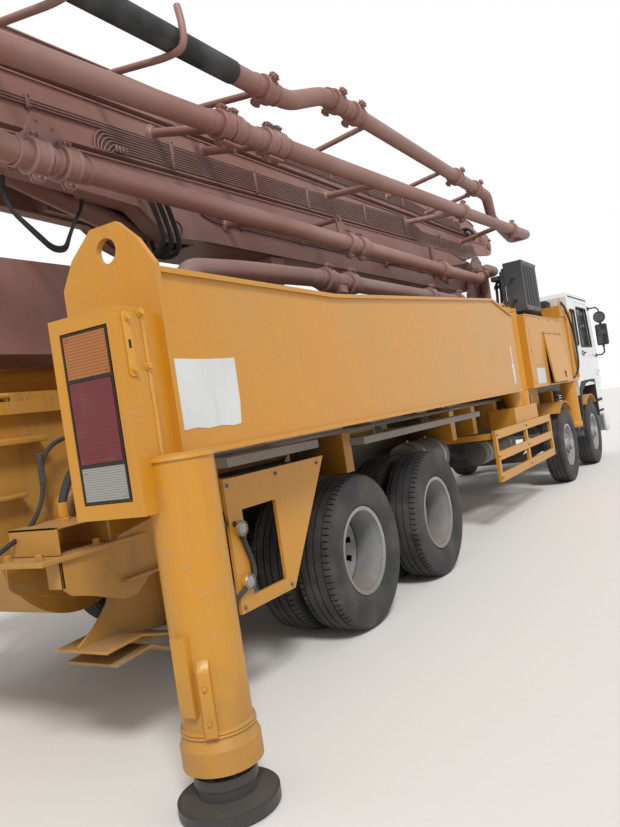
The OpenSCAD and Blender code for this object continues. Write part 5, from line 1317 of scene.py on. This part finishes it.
cab = {
    "doorFace": -1.22, "doorWindow": [(4.8, 1.96), (5.715, 1.96), (5.59, 2.62), (4.8, 2.62)], "sealRadius": 0.014,
    "quarterBar": ((5.47, 1.97), (5.40, 2.61)), "handle": (4.79, 4.94, 1.83, 1.865),
    "rearWindow": [(4.27, 1.98), (4.63, 1.98), (4.63, 2.56), (4.27, 2.56)],
    "gutter": [(4.3, -1.218, 2.775), (5.74, -1.218, 2.775)],
    "marker": (5.93, -1.222, 1.52), "markerStretch": (1.5, 1, 0.8),
    "markerShape": [(0, 0.018), (0.018, 0.016), (0.027, 0.009), (0.029, 0.0), (0.029, -0.004), (0, -0.004)],
    "fender": [(5.475, 0.745), (5.475, 1.305), (5.44, 1.335), (5.0, 1.36), (4.72, 1.335), (4.33, 1.22), (4.215, 1.09),
               (4.155, 0.86), (4.13, 0.86), (4.13, 1.12), (4.2, 1.3), (4.33, 1.385), (4.7, 1.395), (5.46, 1.395),
               (5.515, 1.345), (5.515, 0.745)],
    "steps": ((0.99, 1.03), (0.80, 0.84)), "stepSpan": (5.56, 5.98), "stepRibs": 6, "ribStep": 0.07,
}


def frameRing(outline, y, wide, radius):
    # a closed bead that follows the outline
    points = [Vector((u, y, v)) for u, v in outline]
    start = points[0].lerp(points[1], 0.5)
    return tube([start] + points[1:] + [points[0], start], radius, wide, 8, 4)


def dressDoors(want):
    y, window = want["doorFace"], want["doorWindow"]
    bothPieces("doorGlass", [plate(window, 1, y + 0.026, y + 0.03)], "door", "glass")
    bar = [(x, y + 0.004, z) for x, z in want["quarterBar"]]
    parts = [frameRing(window, y + 0.002, 0.05, want["sealRadius"]), tube(bar, 0.009, 0.01, 8),
             block((4.8, y + 0.008, 1.945), (5.72, y - 0.006, 1.962), 0.003)]
    bothPieces("doorSeal", parts, "door", "seal")
    x0, x1, z0, z1 = want["handle"]
    middle = (z0 + z1) / 2
    grip = tube([(x, y - out, middle) for x, out in ((x0 + 0.008, 0.018), (x0 + 0.012, 0.036), (x1 - 0.012, 0.036),
                                                     (x1 - 0.008, 0.018))], 0.011, 0.012, 10)
    cup = plate([(x0 - 0.02, z0 - 0.02), (x1 + 0.03, z0 - 0.02), (x1 + 0.03, z1 + 0.02), (x0 - 0.02, z1 + 0.02)],
                1, y + 0.0005, y - 0.004, 0.0015)
    lock = rod((x1 + 0.012, y - 0.003, middle), (x1 + 0.012, y - 0.012, middle), 0.011, 16, 0.002)
    bothPieces("doorHandle", [grip, cup, lock], "door", "plastic")


def dressCabSides(want):
    # rear corner window, roof gutter, marker lamp, black fender and steps over the wheel
    parts = [frameRing(want["rearWindow"], -1.219, 0.05, 0.013), tube(want["gutter"], 0.011, 0.02, 8)]
    bothPieces("windowSeal", parts, "truck", "seal")
    lamp = spun(want["markerShape"], want["marker"], (0, -1, 0), 24)
    lamp.scale = want["markerStretch"]
    lamp.location = [spot * (1 - scale) for spot, scale in zip(want["marker"], want["markerStretch"])]
    bothPieces("sideMarker", [lamp], "truck", "amber", 50)
    near, far = want["stepSpan"]
    parts = [plate(want["fender"], 1, -1.0, -1.226, 0.006)]
    parts += [block((near, -1.222, low), (far, -1.208, high), 0.004) for low, high in want["steps"]]
    for k in range(want["stepRibs"]):
        x = near + want["ribStep"] * k
        parts.append(block((x, -1.221, 0.994), (x + 0.02, -1.205, 1.036), 0.003))
    bothPieces("cabFender", parts, "truck", "plastic")
    print("cab sides dressed")


dressDoors(cab)
dressCabSides(cab)

cabFront = {
    "glassLow": (6.117, 1.93), "glassHigh": (5.903, 2.70), "glassHalf": (1.06, 1.0),
    "wiperFeet": (-0.55, 0.35), "wiperX": 6.128, "wiperTip": (-0.1705, 0.42, 0.56), "blade": (-0.02, -0.2, 0.06),
    "barsAt": (0.875, 0.965, 1.055, 1.145), "lampZ": 0.62, "lampY": (0.785, 0.975), "lampX": (6.175, 6.176),
    "lens": [(0, 0.014), (0.03, 0.0125), (0.052, 0.008), (0.064, 0.0), (0.068, -0.004), (0, -0.004)],
    "ring": [(0.066, 0.006), (0.078, 0.006), (0.081, 0.0), (0.081, -0.012), (0.066, -0.012)],
    "plate": ((6.1945, -0.26, 0.5), (6.189, 0.26, 0.61)),
}


def dressCabFront(want):
    # windscreen rubber, wipers, grille bars, headlamps, blank plate
    (lowX, lowZ), (highX, highZ), (low, high) = want["glassLow"], want["glassHigh"], want["glassHalf"]
    start = (lowX, 0, lowZ)
    parts = [tube([start, (lowX, low, lowZ), (highX, high, highZ), (highX, -high, highZ), (lowX, -low, lowZ), start],
                  0.016, 0.07, 8, 5)]
    blade, out = Vector(want["blade"]), Vector((1, 0, 0))
    for y in want["wiperFeet"]:
        foot = Vector((want["wiperX"], y, 1.89))
        tip = foot + Vector(want["wiperTip"])
        parts += [tube([foot, foot + Vector((0.014, 0, 0.03)), foot.lerp(tip, 0.7) + out * 0.014, tip], 0.006, 0.03, 6),
                  tube([tip - blade * 1.1 + out * 0.004, tip + blade * 1.3 + out * 0.004], 0.005, 0.02, 6),
                  rod(foot - out * 0.02, foot + out * 0.018, 0.02, 16, 0.004)]
    asPiece("windscreenTrim", parts, "truck", "seal")
    bars = [block((6.07, -0.9, z - 0.014), (6.132, 0.9, z + 0.014), 0.005) for z in want["barsAt"]]
    asPiece("grilleBars", bars, "truck", "plastic")
    for name, profile, x, finish, slotName, smooth in (
            ("headlampLenses", want["lens"], want["lampX"][0], "clear", "glass", 50),
            ("headlampRings", want["ring"], want["lampX"][1], "chrome", "rod_chrome", 35)):
        parts = [spun(profile, (x, side * y, want["lampZ"]), (1, 0, 0), 36) for side in (-1, 1) for y in want["lampY"]]
        asPiece(name, parts, "truck", finish, smooth)
    asPiece("blankNumberPlate", [block(*want["plate"], 0.002)], "truck", "label")
    print("cab front dressed")


dressCabFront(cabFront)

mirror = {
    "y": -1.37, "main": (1.965, 2.345), "half": 0.1, "bowl": (6.005, 2.47), "clampsAt": (1.95, 2.355),
    "bowlShape": [(0.089, -0.012), (0.1, -0.012), (0.104, 0.004), (0.098, 0.03), (0.07, 0.055), (0.0, 0.066)],
}


def dressMirrors(want):
    y, (low, high), half, (bowlX, bowlZ) = want["y"], want["main"], want["half"], want["bowl"]
    parts = [block((5.9985, y - half + 0.018, low + 0.025), (6.0065, y + half - 0.018, high - 0.025), 0.006),
             spun([(0, 0.0), (0.086, 0.0), (0.088, 0.004), (0, 0.004)], (5.999, y, bowlZ), (1, 0, 0), 32)]
    bothPieces("mirrorGlass", parts, "truck", "mirror")
    parts = [block((5.995, y - half, low), (6.072, y + half, high), 0.03, 4)]
    insetPicked(lambda middle, normal: normal.x < -0.9, 0.012, (0.012, 0, 0))
    parts.append(spun(want["bowlShape"], (bowlX, y, bowlZ), (1, 0, 0), 32))
    parts += [rod((6.03, y, z - 0.02), (6.03, y, z + 0.02), 0.022, 14, 0.004) for z in want["clampsAt"]]
    bothPieces("mirrorShell", parts, "truck", "plastic", 40)
    print("mirrors dressed")


dressMirrors(mirror)

# intake box and breather pipes behind the cab

intake = {
    "low": (3.93, -0.98, 1.75), "high": (4.13, -0.5, 2.72), "ribs": 7, "ribStep": 0.065, "ribsFrom": 0.45,
    "runs": [([(4.02, -0.4, 1.5), (4.0, -0.36, 2.1), (4.02, -0.3, 2.66), (4.1, -0.1, 2.74), (4.1, 0.2, 2.6),
               (4.06, 0.3, 1.5)], 0.028, 0.1, 12, 7),
             ([(3.9, -0.86, 1.5), (3.88, -0.88, 2.2), (3.9, -0.8, 2.5), (3.96, -0.7, 2.56)], 0.02, 0.1, 10, 6)],
}


def dressIntake(want):
    low, high = Vector(want["low"]), Vector(want["high"])
    parts = [block(low, high, 0.022, 3)]
    for k in range(want["ribs"]):
        z = low.z + want["ribsFrom"] + want["ribStep"] * k
        parts.append(block((low.x - 0.008, low.y + 0.05, z), (low.x + 0.01, high.y - 0.05, z + 0.022), 0.003))
    parts.append(block((low.x + 0.02, low.y + 0.03, high.z - 0.004), (high.x - 0.02, high.y - 0.03, high.z + 0.016),
                       0.008, 2))
    asPiece("intakeBox", parts, "truck", "plastic", 40)
    asPiece("intakeHoses", [tube(*run) for run in want["runs"]], "truck", "hose", 60)
    print("intake made")


dressIntake(intake)

# hopper: bearing covers, lip bolts and the agitator's motor

hopper = {
    "x": -5.4, "agitatorZ": 1.18, "coverY": 0.661, "rim": 1.76, "lipBolts": 7, "motorY": -0.679,
    "cover": [(0.05, 0.018), (0.085, 0.018), (0.097, 0.01), (0.108, 0.006), (0.111, 0.0), (0.111, -0.006),
              (0.05, -0.006)],
    "motor": 0.05,
}


def dressHopper(want):
    x, z, rim = want["x"], want["agitatorZ"], want["rim"]
    parts = []
    for side in (-1, 1):
        end = side * want["coverY"]
        parts.append(spun(want["cover"], (x, end, z), (0, side, 0), 36))
        parts += bolts([(x + u, end + side * 0.017, z + v) for u, v in around(6, 0.078, 0.3)], (0, side, 0), 0.019)
    asPiece("bearingCovers", parts, "truck", "pump")
    parts = []
    for y in (-0.6, 0.6):
        parts += bolts(line((-5.9, y, rim), (-4.95, y, rim), want["lipBolts"]), (0, 0, 1), 0.014)
    parts.append(tube([(-6.018, -0.618, rim - 0.03), (-6.018, 0.618, rim - 0.03)], 0.008, 0.01, 8))
    asPiece("hopperLipBolts", parts, "truck", "bolt")
    y, half = want["motorY"], want["motor"]
    parts = [block((x - half, y - 0.1, z - half), (x + half, y, z + half), 0.012, 2),
             rod((x, y - 0.13, z), (x, y - 0.1, z), 0.04, 20, 0.005),
             block((x - 0.03, y - 0.075, z + half), (x + 0.03, y - 0.02, z + half + 0.025), 0.005)]
    parts += bolts([(x + u, y - 0.101, z + v) for u in (-0.038, 0.038) for v in (-0.038, 0.038)], (0, -1, 0), 0.013)
    asPiece("agitatorMotor", parts, "truck", "pump")
    print("hopper dressed")


dressHopper(hopper)

# brackets and steps that flank the hopper, with their hoses

flank = {
    "y0": -0.63, "y1": -0.99, "wall": 0.012, "box": (-5.80, -5.50, 1.045, 1.17),
    "gusset": [(-5.81, 1.02), (-5.81, 0.90), (-5.77, 0.862), (-5.66, 0.83), (-5.48, 0.762), (-5.40, 0.762),
               (-5.30, 0.83), (-5.12, 0.86), (-5.12, 1.12), (-5.46, 1.06), (-5.50, 1.02)],
    "web": [(-5.42, 0.843), (-5.435, 0.78), (-5.46, 0.735), (-5.50, 0.695), (-5.56, 0.645), (-5.66, 0.59),
            (-5.655, 0.575), (-5.10, 0.515), (-5.10, 0.843)],
    "treads": ((-5.66, 0.575, -0.11), (-5.61, 0.50, -0.2)),  # start, height and slope
    "hose": [(-5.24, -0.74, 1.5), (-5.40, -0.76, 1.455), (-5.535, -0.77, 1.37), (-5.595, -0.775, 1.26),
             (-5.60, -0.775, 1.19)],
    "thinHose": [(-5.42, -0.655, 1.56), (-5.53, -0.66, 1.53), (-5.6, -0.662, 1.44), (-5.605, -0.665, 1.3),
                 (-5.7, -0.67, 1.16), (-5.92, -0.68, 1.075), (-6.05, -0.66, 1.02)],
    "fitting": (-5.60, -0.775), "wrap": (-5.598, -0.663), "wrapTurns": 15, "wrapStep": 0.0095,
    "guardHose": [(-4.93, -1.19, 1.02), (-4.93, -1.24, 0.99), (-4.90, -1.25, 0.93), (-4.845, -1.252, 0.77),
                  (-4.84, -1.252, 0.7), (-4.95, -1.25, 0.645), (-5.05, -1.225, 0.6), (-5.06, -1.2, 0.5),
                  (-5.02, -1.18, 0.4)],
    "couplings": ((-4.995, 1.0), (-4.93, 0.99)),
}


def dressFlanks(want):
    y0, y1, wall = want["y0"], want["y1"], want["wall"]
    x0, x1, z0, z1 = want["box"]
    middle = (y0 + y1) / 2
    # channel box, open outward, on its bolted plate
    parts = [block((a, y1 + 0.03, b), (c, y0, z1), 0.002)
             for a, b, c in ((x0, z0, x0 + wall), (x0, z1 - wall, x1), (x1 - wall, z0, x1))]
    parts.append(block((-5.92, y1, 1.02), (-5.30, y0, 1.042), 0.003))
    parts += bolts([(-5.87, y1 + 0.07, 1.042), (-5.87, y0 - 0.07, 1.042), (-5.56, y1 + 0.07, 1.042)], (0, 0, 1), 0.03)
    parts.append(spun([(0.0, 0.0), (0.012, 0.0), (0.012, 0.012), (0.0, 0.014)], (-5.66, y1 + 0.12, z1), (0, 0, 1), 16))
    # folded gussets, the shelf and the curved web that carries the step
    parts += [plate(want["gusset"], 1, y, y + wall, 0.002) for y in (y1 + 0.02, y0 + 0.04)]
    parts += [block((-5.81, y1 + 0.02, 0.9), (-5.798, y1 + 0.12, 1.02), 0.002),
              block((-5.12, y1 + 0.02, 0.86), (-5.108, y0 + 0.05, 1.1), 0.002),
              block((-5.48, y1 - 0.02, 0.842), (-5.12, y0 - 0.05, 0.857), 0.003),
              plate(want["web"], 1, middle - 0.005, middle + 0.007, 0.002),
              block((-5.112, y1 + 0.02, 0.515), (-5.10, y0 - 0.03, 0.86), 0.002)]
    for low, z, slope in want["treads"]:
        top = [(low, z), (low + 0.22, z - 0.22 * slope * 0.4), (-5.10, z + (low + 5.10) * -slope * 0.5 - 0.06)]
        parts.append(plate(top + [(u, v - 0.014) for u, v in reversed(top)], 1, y1 - 0.01, y0 - 0.03, 0.002))
    parts += [block((-5.125, y1 - 0.01, 0.40), (-5.112, y1 + 0.03, 0.55), 0.002),
              tube([(-5.50, y1 + 0.05, 0.575), (-5.42, y1 + 0.04, 0.545), (-5.18, y1 + 0.04, 0.505)], 0.012, 0.03, 10,
                   4),
              block((-6.0, y0 - 0.03, 1.555), (-5.53, -0.575, 1.585), 0.006, 2),  # edge beads of the hopper's side
              block((-6.0, y0 - 0.012, 1.305), (-5.67, -0.575, 1.325), 0.006, 2)]
    bothPieces("hopperBrackets", parts, "truck", "hopper")
    hoses = [tube(want["hose"], 0.021, 0.16, 12, 8), tube(want["thinHose"], 0.011, 0.1, 10, 6)]
    bothPieces("hopperHoses", hoses, "truck", "hose", 60)
    coil = []
    for k in range(want["wrapTurns"]):
        z = 1.36 + want["wrapStep"] * k
        coil.append(spun([(0.012, z - 0.004), (0.0185, z - 0.002), (0.0185, z + 0.002), (0.012, z + 0.004)],
                         (*want["wrap"], 0), (0, 0, 1), 16))
    bothPieces("hoseWrap", coil, "truck", "cooler")
    fitting = [rod((*want["fitting"], low), (*want["fitting"], high), radius, sides, 0.003)
               for low, high, radius, sides in ((1.165, 1.185, 0.034, 6), (1.185, 1.255, 0.0255, 20))]
    bothPieces("hoseFitting", fitting, "truck", "yellow")
    # hose and couplings behind the right rear guard
    asPiece("guardHose", [tube(want["guardHose"], 0.013, 0.05, 12, 7)], "truck", "hose", 60)
    parts = []
    for x, z in want["couplings"]:
        parts += [rod((x, -1.16, z), (x, -1.215, z), 0.032, 20, 0.004),
                  rod((x, -1.215, z), (x, -1.235, z), 0.02, 6, 0.003)]
    parts.append(block((-5.04, -1.165, 0.95), (-4.88, -1.15, 1.05), 0.003))
    asPiece("guardCouplings", parts, "truck", "plastic")
    print("hopper's flanks dressed")


dressFlanks(flank)

# oil cooler on the turret

cooler = {
    "low": (1.77, -1.2, 2.44), "high": (2.51, -0.96, 3.1), "fins": 12, "finStep": 0.056, "shades": 4,
    "shadeStep": 0.16, "risersAt": (-0.93, -0.87, -0.8), "riser": 0.019, "unionsAt": (2.55, 2.8),
}


def dressCooler(want):
    (x0, y0, z0), (x1, y1, z1) = want["low"], want["high"]
    parts = []
    for k in range(want["fins"]):
        x = x0 + 0.053 + want["finStep"] * k
        parts.append(block((x - 0.004, y0 + 0.004, 2.505), (x + 0.004, y0 + 0.03, 3.045), 0.001))
    parts += [block((x0 - 0.003, y0 - 0.004, low), (x1 + 0.003, y0 + 0.02, high), 0.003)
              for low, high in ((3.06, z1 + 0.003), (z0 + 0.002, 2.485))]
    parts += bolts([(x, y0 - 0.004, z) for x in (x0 + 0.02, (x0 + x1) / 2, x1 - 0.02) for z in (3.082, 2.46)],
                   (0, -1, 0), 0.012)
    asPiece("coolerFins", parts, "turret", "cooler")
    # dark plates in the grooves between the fins: painted shade
    starts = [x0 + 0.075 + want["shadeStep"] * k for k in range(want["shades"])]
    shadeSheets = [block((x, y0 - 0.0006, 2.51), (x + 0.075, y0 + 0.004, 3.04), 0.001) for x in starts]
    asPiece("coolerGrooveShade", shadeSheets, "turret", "seal")
    # on its left: risers with unions, a manifold and hoses down to the turret
    parts = []
    for k, y in enumerate(want["risersAt"]):
        x, drop = x0 + 0.04 + 0.05 * k, 0.07 * k
        parts.append(tube([(x + 0.1, -0.955, 3.02 - drop), (x, y, 3.04 - drop), (x - 0.02, y, 2.7),
                           (x - 0.01, y + 0.03, 2.46), (x + 0.08, y + 0.2, 2.38)], want["riser"], 0.06, 10, 5))
        parts += [rod((x - 0.018, y, z), (x - 0.018, y, z + 0.05), 0.03, 6, 0.004) for z in want["unionsAt"]]
    parts += [block((x0 + 0.02, -0.945, 2.9), (x0 + 0.16, -0.77, 2.96), 0.006),
              block((x0, -0.95, 2.5), (x0 + 0.03, -0.9, 3.0), 0.004)]
    asPiece("coolerPipes", parts, "turret", "chassis")
    print("cooler dressed")


dressCooler(cooler)

# tanks: straps, end welds, filler caps

tank = {
    "straps": [((0.1905, 0.196, 0.028), (-1.5, -1.06), (-0.7, 0.9), 40),
               ((0.1305, 0.135, 0.02), (0.4, 1.2), (-0.76, 0.76), 36)],  # radii and half width, places, middle
    "end": [(0, 0.012), (0.12, 0.01), (0.172, 0.006), (0.188, -0.002), (0.19, -0.014), (0, -0.014)],
    "ends": ((-1.62, -1), (-0.94, 1)), "boxStraps": (-1.4, -0.76), "fillerAt": (-0.66, 0.9, 1.01),
    "filler": [(0, 0.03), (0.042, 0.03), (0.05, 0.022), (0.05, 0.0), (0, 0.0)],
}


def dressTanks(want):
    parts = []
    for (inner, outer, half), places, (y, z), sides in want["straps"]:
        profile = [(inner, -half), (outer, 0.002 - half), (outer, half - 0.002), (inner, half)]
        parts += [spun(profile, (x, y, z), (1, 0, 0), sides) for x in places]
    (inner, outer, half), places, (y, z), sides = want["straps"][0]
    parts += bolts([(x, y, z + outer) for x in places], (0, 0, 1), 0.018)
    parts += [spun(want["end"], (x, y, z), (side, 0, 0), 40) for x, side in want["ends"]]
    parts.append(rod((-1.626, y, z), (-1.69, y, z), 0.055, 28, 0.004))
    parts += [block((x - 0.03, 0.516, 0.476), (x + 0.03, 1.084, 1.014), 0.004) for x in want["boxStraps"]]
    parts.append(spun(want["filler"], want["fillerAt"], (0, 0, 1), 28))
    asPiece("tankStraps", parts, "truck", "steel")
    print("tanks dressed")


dressTanks(tank)

# side guards: lamps and bolts

guard = {
    "lampX": -4.9, "lampsAt": (0.68, 0.96), "lampY": 1.2602, "ringY": 1.26, "boltY": 1.2352, "bolt": 0.016,
    "lamp": [(0, 0.011), (0.02, 0.01), (0.031, 0.005), (0.034, 0.0), (0, 0.0)],
    "ring": [(0.034, 0.007), (0.039, 0.007), (0.043, 0.0), (0.034, 0.0)],
    "boltsAt": [(x, z) for x in (-0.44, 0.73, 1.9) for z in (0.545, 0.77, 0.995)]
    + [(-4.94, 0.56), (-4.94, 1.19), (-4.5, 0.56), (-4.05, 1.19), (-4.5, 1.19)],
}


def dressGuards(want):
    lamps, parts = [], []
    for side in (-1, 1):
        parts += bolts([(x, side * want["boltY"], z) for x, z in want["boltsAt"]], (0, side, 0), want["bolt"])
        for z in want["lampsAt"]:
            lamps.append(spun(want["lamp"], (want["lampX"], side * want["lampY"], z), (0, side, 0), 28))
            parts.append(spun(want["ring"], (want["lampX"], side * want["ringY"], z), (0, side, 0), 28))
    asPiece("guardLamps", lamps, "truck", "clear", 50)
    asPiece("guardBolts", parts, "truck", "bolt")
    print("guards dressed")


dressGuards(guard)

# slew ring bolts: count, radius, height, start

slewRing = {"x": 2.15, "bolt": 0.018, "ringBolts": ("truck", 32, 0.608, 1.781, 0.0),
            "turretBolts": ("turret", 28, 0.56, 1.871, 0.1)}
for name in ("ringBolts", "turretBolts"):
    body, count, reach, z, start = slewRing[name]
    parts = bolts([(slewRing["x"] + u, v, z) for u, v in around(count, reach, start)], (0, 0, 1), slewRing["bolt"])
    asPiece(name, parts, body, "bolt")
print("slew ring bolted")
